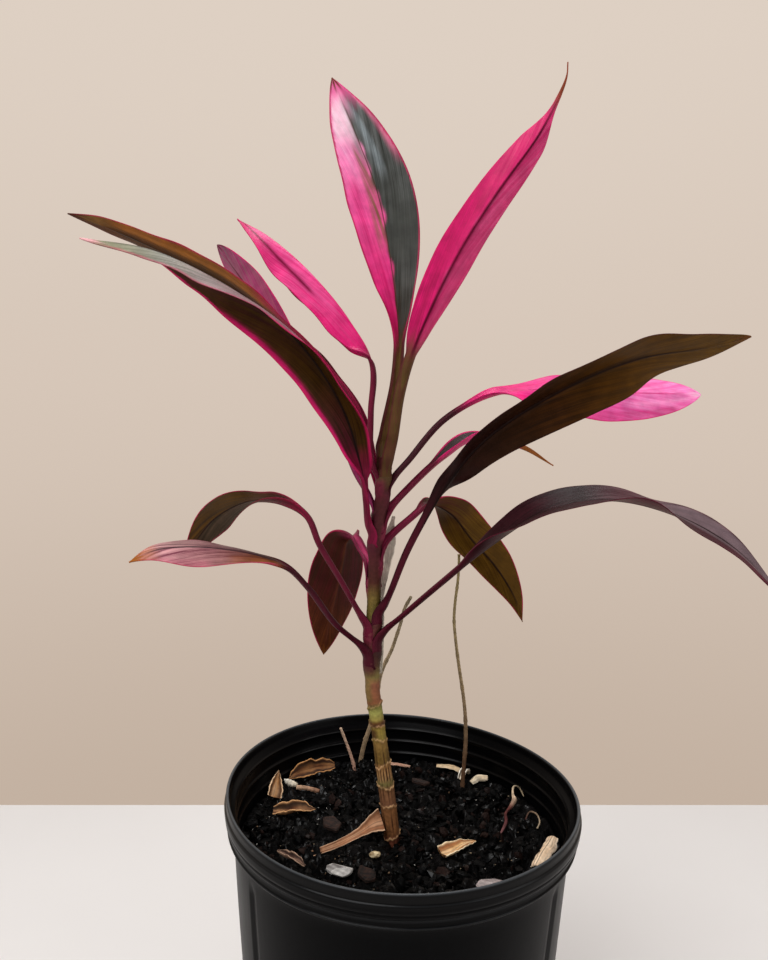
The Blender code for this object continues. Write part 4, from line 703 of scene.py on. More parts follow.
def soil_finish():
    """Damp potting mix: near black, mottled by two noises, with small wet glints where the broad one is high."""
    sheet = skin("potting_mix", Specular_IOR_Level=0.05, Coat_Roughness=0.2)
    place = sheet.place()
    grain, broad = sheet.noise(place, 500.0, 5.0, 0.65), sheet.noise(place, 160.0, 3.0)
    shade = (grain * 0.65 + broad * 0.35).step(0.3, 0.7) * 1.1 + 0.4
    colour = sheet.mix(1.0, sheet.mark("tint", 0), sheet.point(shade, shade, shade), "MULTIPLY")
    return sheet.wear(Base_Color=colour, Roughness=grain * 0.2 + 0.4, Coat_Weight=broad.step(0.52, 0.62) * 0.3,
                      Normal=sheet.bump(grain, 0.8, 1.0))


# ---- the leaves

def section_places(width, fold, curl):
    """A leaf's half section at every station: places across and up, and the slope's angle.

    The half's direction turns from 0 at the midrib to the fold within a few millimetres, as
    fold * (1 - exp(-arc / crease)), and then by the curl over the half's width. The places are the
    running sums of the direction's cosine and sine.
    """
    t = np.linspace(0, 1, HALF_STEPS + 1)
    v = t - 0.6 * np.sin(TURN * t) / TURN
    arc = width[:, None] * v[None, :]
    crease = np.minimum(CREASE, width / 6)[:, None]
    angle = fold[:, None] * (1 - np.exp(-arc / crease)) + curl[:, None] * v[None, :]
    middle = (angle[:, 1:] + angle[:, :-1]) / 2
    step = np.diff(arc, axis=1)
    zero = np.zeros((len(width), 1))
    across = np.hstack([zero, np.cumsum(np.cos(middle) * step, axis=1)])
    up = np.hstack([zero, np.cumsum(np.sin(middle) * step, axis=1)])
    return v, arc, across, up, angle


def frame_along(line, stations, heading, roll):
    """The side and face vectors at distances along a line.

    The side starts square to the heading and then rolls about the line; heading and roll are arrays
    of radians, one value a station.
    """
    forward = at_distances(line, stations + 1) - at_distances(line, stations - 1)
    forward /= np.linalg.norm(forward, axis=1)[:, None]
    across = np.stack([-np.sin(heading), np.cos(heading), np.zeros_like(heading)], 1)
    side = across - (forward * across).sum(1)[:, None] * forward
    side /= np.linalg.norm(side, axis=1)[:, None]
    face = np.cross(forward, side)
    c, s = np.cos(roll)[:, None], np.sin(roll)[:, None]
    return c * side + s * face, c * face - s * side


def by_stops(share, stops, which):
    """The colours at shares of a blade, between stops of (share, main colour, streak colour)."""
    places = [stop[0] for stop in stops]
    return np.stack([np.interp(share, places, [stop[which][k] for stop in stops]) for k in range(3)], -1)


def blend(first, second, share):
    """Colours between two sets of colours."""
    return first * (1 - share[..., None]) + second * share[..., None]


def patch_share(v, blade, low, high, start, stop):
    """How much of a patch lies at each place: 1 inside its bounds, eased to 0 at them."""
    soft = min(0.07, (high - low) / 2)
    across = smooth_step(v, low - soft, low + soft) * (1 - smooth_step(v, high - soft, high + soft))
    return across * smooth_step(blade, start - 0.05, start + 0.05) * (1 - smooth_step(blade, stop - 0.04, stop + 0.04))


def paint_leaf(look, v, arc, blade, top):
    """A leaf's main and streak colours at every point of its rings.

    v is signed across the leaf, arc the distance from the midrib, blade the share along the blade,
    and top is 1 on the upper skin and 0 on the lower.
    """
    side = smooth_step(v + 0.05 * np.sin(29 * blade) + 0.03 * np.sin(71 * blade), -0.06, 0.06)
    stalk, ridge = look["petiole"]
    rib_colour, rib_width = look["rib"]
    tip_colour, tip_start = look["tip"]
    in_blade = smooth_step(blade, -0.03, 0.1)
    rib = (1 - smooth_step(arc, 0.4 * rib_width, 1.5 * rib_width)) * smooth_step(blade, -0.05, 0.05)
    rib = rib * (1 - smooth_step(blade, 0.75, 1.0))
    ridged = smooth_step(np.abs(v), 0.62, 0.95)
    tip = smooth_step(blade + 0.02 * np.sin(9 * v), tip_start - 0.03, tip_start + 0.02)
    result = []
    for place, which in enumerate((1, 2)):
        faces = [blend(by_stops(blade, look[face][1], which), by_stops(blade, look[face][0], which), side)
                 for face in ("under", "top")]
        colours = blend(faces[0], faces[1], top)
        for patch in look["patches"]:
            share = patch_share(v, blade, *patch[1:5]) * patch[5 + place]
            colours = blend(colours, np.broadcast_to(patch[0], colours.shape), share)
        stem = blend(np.broadcast_to(stalk, colours.shape), np.broadcast_to(ridge, colours.shape),
                     np.maximum(ridged * 0.8, 0.6 * place))
        colours = blend(stem, colours, in_blade)
        for share, colour in ((rib, rib_colour), (tip, tip_colour)):
            colours = blend(colours, np.broadcast_to(colour, colours.shape), share)
        result.append(colours)
    return result


def make_leaf(name, leaf, look, finish, seed):
    """A leaf with its own waves: a sheathing base, a channelled petiole and a ribbed, folded blade.

    The half width along the blade is width / 2 * (s / w)^(t w) * ((1 - s) / (1 - w))^(t (1 - w)), with
    s from 0 to 1, w where the blade is widest and t the taper. The edge waves by a * v^3 * sin(k s).
    """
    rng = np.random.default_rng(seed)
    height, azimuth = leaf["base"]
    outward = np.array([math.cos(math.radians(azimuth)), math.sin(math.radians(azimuth)), 0.0])
    clasp = leaf.get("clasp", CLASP_SPREAD)
    spread = math.radians(clasp)
    reach = cane_radius(height) + 2 * GAP + THICK_CLASP / 2
    freed = CLASP_HEIGHT + CLASP_TO_PETIOLE
    foot = [cane_point(height + rise) + (reach + lean) * outward
            for rise, lean in ((-TUCK, -2.2), (0, 0), (CLASP_HEIGHT, 0), (freed, CLASP_LEAN))]
    line = smooth_line(foot + leaf["line"])
    tuck = length_of(line[:LINE_STEPS + 1])
    length = length_of(line) - tuck
    petiole = leaf["petiole"]
    stations = np.concatenate([np.linspace(-tuck, freed, 12), np.linspace(freed, petiole, 26)[1:],
                               petiole + (length - petiole) * (1 - (1 - np.linspace(0, 1, 106)[1:]) ** 1.2)])
    share = stations / length
    blade = np.clip((stations - petiole) / (length - petiole), 0, 1)
    widest = leaf.get("widest", BLADE_WIDEST)
    taper = leaf.get("taper", BLADE_TAPER)
    rise, fall = taper * widest, taper * (1 - widest)
    bulge = (blade / widest) ** rise * ((1 - blade) / (1 - widest)) ** fall
    handle = eased(stations, [(CLASP_HEIGHT, reach * spread), (SHEATH_REACH, PETIOLE_HALF_ARC)])
    tail_start, tail_share = leaf.get("tail", (1, 0))
    bulge = bulge * (1 - tail_share * smooth_step(blade, tail_start - 0.14, tail_start))
    width = np.maximum(np.hypot(handle * (1 - blade), leaf["width"] / 2 * bulge), TIP_HALF_WIDTH)
    in_blade = eased(blade, [(0, 0), (0.25, 1)])
    fold = eased(share, leaf["fold"]) * eased(stations, [(CLASP_HEIGHT, 0), (petiole, 1)])
    fold = fold * (1 - blade ** TIP_FLATTEN)
    curl = eased(stations, [(CLASP_HEIGHT, clasp), (SHEATH_REACH, PETIOLE_CURL)]) - np.abs(fold)
    curl = curl * (1 - in_blade) + BLADE_CURL * in_blade
    thick = eased(stations, [(CLASP_HEIGHT, THICK_CLASP), (freed, THICK_PETIOLE), (petiole, THICK_PETIOLE),
                             (petiole + THICK_FADE, THICK_BLADE)])
    heading = np.radians(eased(stations, [(freed, azimuth), (petiole, leaf["heading"])]))
    roll = np.radians(eased(share, leaf["roll"]))
    side, face = frame_along(line, stations + tuck, heading, roll)
    v, arc, across, up, angle = section_places(width, np.radians(fold), np.radians(curl))

    swell = eased(blade, [(0, 0), (0.2, 1), (0.85, 1), (1, 0.2)])[:, None]
    thin = thick[:, None] * (1 - 0.55 * swell * v[None, :] ** 2) / 2
    fade = (1 - blade[:, None]) ** 1.3
    rib = (0.25 + 0.9 * fade) * np.exp(-(arc / 1.1) ** 2) * swell
    channel = 0.45 * fade * np.exp(-(arc / 0.9) ** 2) * swell
    halves = []
    for sign in (-1, 1):
        phase = rng.uniform(0, TURN, 2)
        waves = np.sin(stations / 9.5 + phase[0]) * 0.7 + np.sin(stations / 5.2 + phase[1]) * 0.3
        ripple = leaf.get("ripple", 0.9) * (waves * in_blade)[:, None] * v[None, :] ** 3 * np.clip(width / 15, 0, 1)[:, None]
        normal = np.stack([-sign * np.sin(angle), np.cos(angle)], -1)
        middle = np.stack([sign * across, up], -1) + normal * ripple[..., None]
        upper = middle + normal * (thin - channel)[..., None]
        lower = middle - normal * (thin + rib)[..., None]
        halves.append((upper, lower, sign * v))
    left, right = halves
    flat = np.concatenate([left[0][:, :0:-1], right[0], right[1][:, ::-1], left[1][:, 1:]], axis=1)
    signed = np.concatenate([left[2][:0:-1], right[2], right[2][::-1], left[2][1:]])
    arcs = np.concatenate([arc[:, :0:-1], arc, arc[:, ::-1], arc[:, 1:]], axis=1)
    half = 2 * HALF_STEPS + 1
    top = np.broadcast_to((np.arange(2 * half) < half).astype(float), arcs.shape)
    centres = at_distances(line, stations + tuck)
    rings = centres[:, None, :] + flat[..., :1] * side[:, None, :] + flat[..., 1:] * face[:, None, :]
    signed = np.broadcast_to(signed, arcs.shape)
    shares = np.broadcast_to((stations[:, None] - petiole) / (length - petiole), arcs.shape)
    tint, streaks = paint_leaf(look, signed, arcs, shares, top)
    edge, edge_width, here, there = look["margin"]
    tip_start = look["tip"][1]
    edging = np.where(signed > 0, here, there) * smooth_step(shares, 0.0, 0.12) * (
        1 - smooth_step(shares, min(0.9, tip_start - 0.04), min(1.0, tip_start + 0.04)))
    marks = {"along": np.broadcast_to(stations[:, None], arcs.shape), "across": arcs * np.sign(signed),
             "top": top, "tint": tint, "streaks": streaks, "edge": np.broadcast_to(edge, tint.shape),
             "edging": edging, "rim": (width[:, None] - arcs) / edge_width,
             "veins": look["veins"] * smooth_step(shares, 0.0, 0.1)}
    made = loft(f"{name}_look", rings, marks, finish)
    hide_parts(name)
    return made


# ---- the pot, the soil and the cane

def make_pot(finish):
    """The pot: a profile turned round, squeezed out of round, with long grooves sunk in its wall."""
    wall_low, wall_high = pot_outer_radius(6), pot_outer_radius(206)
    inner = [(0.5, POT_FLOOR), (60, POT_FLOOR), (pot_outer_radius(POT_FLOOR) - POT_WALL - 2, POT_FLOOR)]
    for height in np.linspace(5, 206, 30):
        inner.append((pot_outer_radius(height) - POT_WALL, height))
    for height in POT_INNER_RINGS:
        for rise in np.linspace(-2.4, 2.4, 9):
            swell = POT_RING_RELIEF * math.cos(rise / 2.4 * math.pi / 2) ** 2
            inner.append((pot_outer_radius(height + rise) - POT_WALL - swell, height + rise))
    inner += [(120.9, 233.5), (121.4, 236.6), (122.1, 238.8)]
    lip = [(122.5, 240.0), (122.9, 240.6), (123.5, 240.95), (124.1, 240.9), (124.6, 240.5), (124.8, 239.8), (124.75, 238),
           (124.6, 235.6), (124.68, 235.1), (124.9, 234.8), (125.2, 234.6), (125.45, 234.25), (125.6, 233.8), (125.65, 233.2)]
    band = [(125.4, 231), (125.15, 229.3), (124.75, 228.9), (124.75, 228.5), (124.9, 228.1), (124.6, 226.6), (124.1, 225.9),
            (123.2, 225.2), (122.7, 224.6), (122.5, 222.6), (122.3, 220.9), (122.35, 220.6), (122.6, 220.45), (122.95, 220.3),
            (123.1, 220.0), (123.05, 219.5), (122.4, 218.7), (120.6, 217.8), (119.2, 217.0), (118.5, 216.0), (118.2, 214.5)]
    outer = [(pot_outer_radius(height), height) for height in np.linspace(212, 3, 60)]
    foot = [(98.0, 1.7), (97.3, 0.6), (96.2, 0.05), (95.4, 0), (60, 0), (0.5, 0)]
    profile = np.array(inner + lip + band + outer + foot)
    turns = np.linspace(0, TURN, 288, endpoint=False)
    radius, height = profile[:, :1], np.broadcast_to(profile[:, 1:], (len(profile), len(turns)))
    deep = np.zeros_like(height)
    outside = (np.arange(len(profile)) >= len(inner + lip + band))[:, None]
    for groove in POT_GROOVE_TURNS:
        away = np.abs((turns - math.radians(groove) + math.pi) % TURN - math.pi) * radius
        ends = smooth_step(height, POT_GROOVE_ENDS[0], POT_GROOVE_ENDS[0] + 2) * (
            1 - smooth_step(height, POT_GROOVE_ENDS[1] - 2, POT_GROOVE_ENDS[1]))
        deep = deep + outside * ends * (1 - smooth_step(away, POT_GROOVE_HALF_WIDTH - 0.7, POT_GROOVE_HALF_WIDTH + 0.5))
    radius = radius - POT_GROOVE_DEPTH * deep
    rings = out_of_round(np.stack([radius * np.cos(turns), radius * np.sin(turns), height], -1))
    crest = np.zeros_like(height)
    for ring in POT_INNER_RINGS:
        crest = np.maximum(crest, 0.5 * np.exp(-((height - ring - 0.5) / 0.8) ** 2))
    ledges = 0.25 * smooth_step(height, 232.6, 233.6) + 0.3 * np.exp(-((height - 220) / 0.7) ** 2)
    ledges = ledges + 0.05 * smooth_step(height, 206, 216)
    is_inner = (np.arange(len(profile)) < len(inner))[:, None]
    # Painted highlight: thin pale lines along the rim's edges, where the light catches them
    rim_highlight_paint = sum(share * np.exp(-((height - at) / 0.3) ** 2) for at, share in POT_RIM_HIGHLIGHTS)
    marks = {"around": np.broadcast_to(turns, height.shape), "height": height,
             "gloss": np.where(is_inner, crest, ledges), "rim_highlight_paint": np.where(is_inner, 0, rim_highlight_paint)}
    made = loft("pot_look", rings, marks, finish)
    for index in range(POT_DRAIN_COUNT):
        around = TURN * (index + 0.5) / POT_DRAIN_COUNT
        bpy.ops.mesh.primitive_cylinder_add(vertices=40, radius=POT_DRAIN_RADIUS * MM, depth=2 * POT_DRAIN_RADIUS * MM)
        drill = bpy.context.object
        drill.location = (POT_DRAIN_CIRCLE * MM * math.cos(around), POT_DRAIN_CIRCLE * MM * math.sin(around), 0)
        cut = made.modifiers.new("drain", "BOOLEAN")
        cut.operation = "DIFFERENCE"
        cut.solver = "EXACT"
        cut.object = drill
        bpy.context.view_layer.objects.active = made
        bpy.ops.object.modifier_apply(modifier=cut.name)
        bpy.data.objects.remove(drill, do_unlink=True)
    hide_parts("pot")
    return made


def soil_inside(turn):
    """The soil's outer radius at an angle, just inside the pot's wall at the soil's height."""
    radius = pot_outer_radius(SOIL_LEVEL) - POT_WALL - SOIL_GAP
    ring = out_of_round(np.stack([radius * np.cos(turn), radius * np.sin(turn), np.full_like(turn, SOIL_LEVEL)], -1))
    return np.hypot(ring[..., 0], ring[..., 1])


def litter_distance(x, y):
    """How far places on the soil are from the nearest corner of any solid on it, and the sheath's line."""
    corners = []
    for name in [*CURLS, *STALKS, *SCRAPS, *PEBBLES, "dry_sheath", "chip_bark", "chip_back", "chip_left"]:
        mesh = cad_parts[name].data
        places = np.empty(len(mesh.vertices) * 3, np.float32)
        mesh.vertices.foreach_get("co", places)
        corners.append(places.reshape(-1, 3)[:, :2] / MM)
    corners.append(smooth_line([*SHEATH["line"], SHEATH_REST])[:, :2])
    corners = np.vstack(corners)
    flat = np.stack([x.ravel(), y.ravel()], 1).astype(np.float32)
    away = [((part[:, None, :] - corners[None]) ** 2).sum(-1).min(1) for part in np.array_split(flat, 60)]
    return np.sqrt(np.concatenate(away)).reshape(x.shape)


def crumbly(x, y, rng):
    """The soil's fine relief and colour: each point takes the height and the tilt of its nearest crumb.

    Crumbs are seeded points in two sizes; a point's height is the crumb's own, plus its tilt times the
    way from the crumb's middle, less a little for that way squared.
    """
    relief, shade = np.zeros_like(x), np.zeros_like(x)
    for count, rise, tilt, drop in ((620, 2.0, 0.34, 0.05), (3600, 0.95, 0.5, 0.14)):
        seeds = rng.uniform(-122, 122, (count, 2)).astype(np.float32)
        heights, slopes = rng.normal(0, rise, count), rng.normal(0, tilt, (count, 2))
        tones = rng.uniform(0, 1, count)
        flat = np.stack([x.ravel(), y.ravel()], 1).astype(np.float32)
        nearest = np.empty(len(flat), int)
        for part in np.array_split(np.arange(len(flat)), 60):
            nearest[part] = ((flat[part, None, :] - seeds[None]) ** 2).sum(-1).argmin(1)
        away = flat - seeds[nearest]
        lift = heights[nearest] + (away * slopes[nearest]).sum(1) - drop * (away ** 2).sum(1)
        relief += np.clip(lift, -2.5 * rise, 2.5 * rise).reshape(x.shape)
        shade += tones[nearest].reshape(x.shape) / 2
    return relief, shade


def make_soil(finish, rng):
    """The potting mix: crumbs in relief over the solid's slope, then down the wall and under."""
    turns = np.linspace(0, TURN, 480, endpoint=False)
    shares = np.concatenate([[0.004], np.linspace(0.012, 1, 125)])
    edge = soil_inside(turns)
    radius = shares[:, None] * edge[None, :]
    x, y = radius * np.cos(turns), radius * np.sin(turns)
    relief, shade = crumbly(x, y, rng)
    relief = np.where(litter_distance(x, y) < 4, np.minimum(relief, -0.3), relief)
    fade = 1 - 0.7 * smooth_step(shares, 0.93, 1.0)[:, None]
    top = np.stack([x, y, soil_height(x, y) + 0.3 + relief * fade], -1)
    below = []
    for height in (150, 100, 50, 8):
        wide = pot_outer_radius(height) - POT_WALL - SOIL_GAP
        below.append(out_of_round(np.stack([wide * np.cos(turns), wide * np.sin(turns), np.full_like(turns, height)], -1)))
    for wide, height in ((94, 3), (40, 3), (0.5, 3)):
        below.append(np.stack([wide * np.cos(turns), wide * np.sin(turns), np.full_like(turns, height)], -1))
    rings = np.concatenate([top, np.array(below)])
    dark, light = srgb(1, 1, 1), srgb(15, 12, 12)
    tone = np.concatenate([shade ** 2, np.full((len(below), len(turns)), 0.2)])
    tint = blend(np.broadcast_to(dark, (*tone.shape, 3)), np.broadcast_to(light, (*tone.shape, 3)), tone)
    made = loft("soil_look", rings, {"tint": tint}, finish, smooth=True)
    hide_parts("soil")
    return made


CRUMB = np.array([(0, 0, 1), (0.9, 0, 0.45), (0.28, 0.85, 0.45), (-0.72, 0.53, 0.45), (-0.72, -0.53, 0.45),
                  (0.28, -0.85, 0.45), (0.72, 0.53, -0.45), (-0.28, 0.85, -0.45), (-0.9, 0, -0.45),
                  (-0.28, -0.85, -0.45), (0.72, -0.53, -0.45), (0, 0, -1)])
CRUMB_FACES = np.array([(0, 1, 2), (0, 2, 3), (0, 3, 4), (0, 4, 5), (0, 5, 1), (1, 6, 2), (2, 7, 3), (3, 8, 4),
                        (4, 9, 5), (5, 10, 1), (2, 6, 7), (3, 7, 8), (4, 8, 9), (5, 9, 10), (1, 10, 6),
                        (11, 7, 6), (11, 8, 7), (11, 9, 8), (11, 10, 9), (11, 6, 10)])


def make_crumbs(name, count, sizes, colours, finish, rng, lift=0.5):
    """Loose crumbs on the soil: one rough twenty-sided lump, stretched, turned and coloured each time."""
    turn = rng.uniform(0, TURN, count)
    radius = np.sqrt(rng.uniform(0, 0.93, count)) * soil_inside(turn)
    x, y = radius * np.cos(turn), radius * np.sin(turn)
    low, high = sizes
    long = low + (high - low) * rng.uniform(0, 1, count) ** 2.5
    half = np.stack([long, long * rng.uniform(0.45, 0.9, count), long * rng.uniform(0.25, 0.6, count)], 1) / 2
    shape = CRUMB[None] * (1 + rng.normal(0, 0.16, (count, 12, 1))) * half[:, None, :]
    spin, tip = rng.uniform(0, TURN, count), rng.normal(0, 0.5, count)
    c, s, ct, st = np.cos(spin), np.sin(spin), np.cos(tip), np.sin(tip)
    tipped = np.stack([shape[..., 0] * ct[:, None] + shape[..., 2] * st[:, None], shape[..., 1],
                       shape[..., 2] * ct[:, None] - shape[..., 0] * st[:, None]], -1)
    turned = np.stack([tipped[..., 0] * c[:, None] - tipped[..., 1] * s[:, None],
                       tipped[..., 0] * s[:, None] + tipped[..., 1] * c[:, None], tipped[..., 2]], -1)
    sunk = np.where(litter_distance(x, y) < 3 + half[:, 0], 3 + half[:, 0], 0)
    middle = np.stack([x, y, soil_height(x, y) + 0.6 + lift * half[:, 2] - sunk], 1)
    points = (turned + middle[:, None, :]).reshape(-1, 3)
    faces = (CRUMB_FACES[None] + 12 * np.arange(count)[:, None, None]).reshape(-1, 3)
    choice = np.array(colours)[rng.integers(0, len(colours), count)] * rng.uniform(0.6, 1.25, (count, 1))
    tint = np.repeat(choice, 12, axis=0)
    return mesh_piece(name, points, np.empty((0, 4), int), faces, {"tint": tint}, finish, smooth=False)


def tube_rings(line, stations, radii, loop, shape=None):
    """Rings of a stalk along a line, each square to it, with a radius for each ring and angle."""
    forward = at_distances(line, stations + 0.5) - at_distances(line, stations - 0.5)
    forward /= np.linalg.norm(forward, axis=1)[:, None]
    helper = np.where(np.abs(forward[:, :1]) > 0.8, [[0.0, 1.0, 0.0]], [[1.0, 0.0, 0.0]])
    side = helper - (forward * helper).sum(1)[:, None] * forward
    side /= np.linalg.norm(side, axis=1)[:, None]
    other = np.cross(forward, side)
    turns = np.linspace(0, TURN, loop, endpoint=False)
    wide = np.broadcast_to(radii[:, None], (len(stations), loop))
    if shape is not None:
        wide = wide * shape(stations[:, None], turns[None, :])
    out = np.cos(turns)[None, :, None] * side[:, None, :] + np.sin(turns)[None, :, None] * other[:, None, :]
    return at_distances(line, stations)[:, None, :] + wide[..., None] * out, turns


def node_share(base, heights, turns):
    """How much the cane swells at a leaf's base: most just under it, on its side of the cane."""
    height, azimuth = base
    rise = smooth_step(heights, height - 12, height - 1) * (1 - smooth_step(heights, height + 1, height + 7))
    return rise[:, None] * smooth_step(np.cos(turns - math.radians(azimuth)), -0.35, 0.6)[None, :]


def make_cane(finish):
    """The cane: scar rings with ragged upper edges, upright ribs between them, its colour by height, painted shade
    towards its left and right sides, and a painted shadow just above each ring.
    """
    line = np.array([cane_point(height) for height in np.linspace(160, 470, 240)])
    stations = np.linspace(0, length_of(line), 620)
    heights = at_distances(line, stations)[:, 2]
    places, radii = np.array(CANE_RADII, float).T
    plain = np.interp(heights, places, radii)
    turns = np.linspace(0, TURN, 72, endpoint=False)
    ragged = 1.0 * np.sin(3 * turns + 1.0) + 0.6 * np.sin(7 * turns + 2.0) + 0.5 * np.sin(13 * turns)
    ring = np.zeros((len(heights), len(turns)))
    above = np.full_like(ring, 40.0)
    for number, scar in enumerate(CANE_RINGS):
        slant = 1.7 * np.cos(turns + 2.1 * number)
        way = heights[:, None] - (scar + slant + 0.6 * np.roll(ragged, 11 * number))
        ring = ring + np.where(way > 0, np.exp(-(way / 0.45) ** 2), np.exp(-(way / 1.5) ** 2)) * (1 + 0.3 * np.roll(ragged, 7 * number))
        above = np.where((way > 0) & (way < above), way, above)
    woody = 1 - smooth_step(heights, 255, 300)[:, None]
    ribs = np.sin(11 * turns + 0.6 * np.sin(heights[:, None] / 9)) + 0.6 * np.sin(17 * turns + 1.3)
    wrinkle = np.sin(heights[:, None] * 1.7 + 2 * np.sin(3 * turns)) * 0.05
    wide = plain[:, None] + CANE_RING_RELIEF * ring + 0.22 * ribs * woody + wrinkle
    for leaf in LEAVES.values():
        wide = wide + NODE_SWELL * node_share(leaf["base"], heights, turns)
    stops = [(160, BROWN), (203, srgb(110, 60, 44)), (207, srgb(140, 92, 56)), (226, srgb(146, 98, 60)), (229, srgb(138, 94, 66)),
             (240, srgb(146, 102, 68)), (244, srgb(132, 122, 70)), (248, srgb(186, 144, 96)), (256, srgb(176, 128, 78)),
             (259, srgb(124, 96, 46)), (273, srgb(146, 114, 60)), (276, srgb(160, 140, 68)), (283, srgb(158, 136, 62)),
             (285, srgb(96, 62, 34)), (287, srgb(112, 74, 36)), (289, srgb(160, 144, 74)), (294, srgb(166, 164, 88)),
             (298, srgb(124, 118, 62)), (301, srgb(146, 92, 60)), (314, srgb(142, 88, 64)), (319, srgb(130, 116, 64)),
             (327, srgb(84, 56, 34)),
             (345, srgb(60, 34, 24)), (362, srgb(104, 92, 40)), (374, srgb(112, 92, 44)), (384, srgb(78, 36, 28)),
             (400, srgb(76, 28, 32)), (430, srgb(80, 32, 36)), (470, srgb(76, 28, 30))]
    base = np.stack([np.interp(heights, [s[0] for s in stops], [s[1][k] for s in stops]) for k in range(3)], -1)
    tint = np.broadcast_to(base[:, None, :], (*wide.shape, 3))
    streaky = smooth_step(-ribs, 0.25, 1.3) * woody * (0.55 + 0.45 * np.sin(heights / 3.7)[:, None])
    frill = (smooth_step(heights, 244, 247) * (1 - smooth_step(heights, 254, 257)))[:, None]
    slits = smooth_step(np.sin(15 * turns + 0.4 * np.sin(heights[:, None] / 3)), 0.1, 0.7) * frill
    left = smooth_step(-np.cos(turns), -0.2, 0.6)[None, :]
    for low, high, colour, strength in ((274, 284, srgb(82, 46, 28), 0.85), (300, 318, srgb(124, 112, 60), 0.65)):
        band = (smooth_step(heights, low, low + 4) * (1 - smooth_step(heights, high - 3, high)))[:, None]
        tint = blend(tint, np.broadcast_to(colour, tint.shape), band * left * strength)
    tint = blend(tint, np.broadcast_to(srgb(56, 26, 16), tint.shape), np.maximum(streaky * 0.85, slits * 0.95))
    wide = wide - 0.4 * slits
    # Painted shade: the bark is darkened towards its left and right sides, as the cane is seen from the front
    tint = tint * (1 - 0.5 * (np.cos(turns) ** 4)[None, :, None] * np.maximum(woody, 0.5)[..., None])
    pale = np.clip(ring, 0, 1) ** 2 * (0.25 + 0.55 * woody)
    tint = blend(tint, np.broadcast_to(srgb(214, 170, 122), tint.shape), pale)
    shadow = np.exp(-above / 1.3) * (1 - np.clip(ring, 0, 1)) * 0.7
    tint = blend(tint, np.broadcast_to(srgb(44, 24, 16), tint.shape), shadow)
    for name, leaf in LEAVES.items():
        tint = blend(tint, np.broadcast_to(LOOKS[name]["petiole"][0], tint.shape), 0.75 * node_share(leaf["base"], heights, turns))
    rings, _ = tube_rings(line, stations, np.ones_like(stations), len(turns), lambda s, t: wide)
    made = loft("cane_look", rings, {"tint": tint}, finish)
    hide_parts("cane")
    return made


# ---- twigs and litter

TWIGS = {
    "twig_tall": {
        "radii": (1.7, 1.5, 1.2, 1.0),
        "colours": (srgb(92, 66, 48), srgb(120, 88, 64), srgb(168, 144, 112), srgb(160, 142, 104), srgb(150, 134, 92)),
        "line": [(54, 70, 165), (54, 70, 190), (54, 70, 207), (56, 68, 242), (55.5, 67, 262), (54, 66, 277),
                 (49.5, 64, 306), (47, 63, 325), (45.6, 62, 341), (46.4, 61.5, 356), (48.2, 61, 371),
                 (49, 60.5, 384), (49, 60, 393)]},
    "twig_bent": {
        "radii": (2.0, 1.2), "colours": (srgb(190, 160, 128), srgb(190, 166, 132), srgb(150, 136, 110)),
        "line": [(-29, 107, 165), (-29, 107, 190), (-29, 107, 207), (-25, 100, 228), (-20, 94, 245),
                 (-15, 86, 270), (-12, 78, 291), (-9, 74, 301), (-3, 70, 315), (1, 66, 328), (4, 64, 338),
                 (7, 62, 350), (12, 60, 360)]},
    "twig_broken": {
        "radii": (1.4, 1.3, 1.0), "colours": (srgb(130, 84, 70), srgb(214, 166, 144), srgb(220, 190, 164)),
        "line": [(-34, 98, 170), (-34, 98, 190), (-34, 98, 206), (-36, 97, 215), (-40, 95, 228),
                 (-45, 94, 242)]},
}
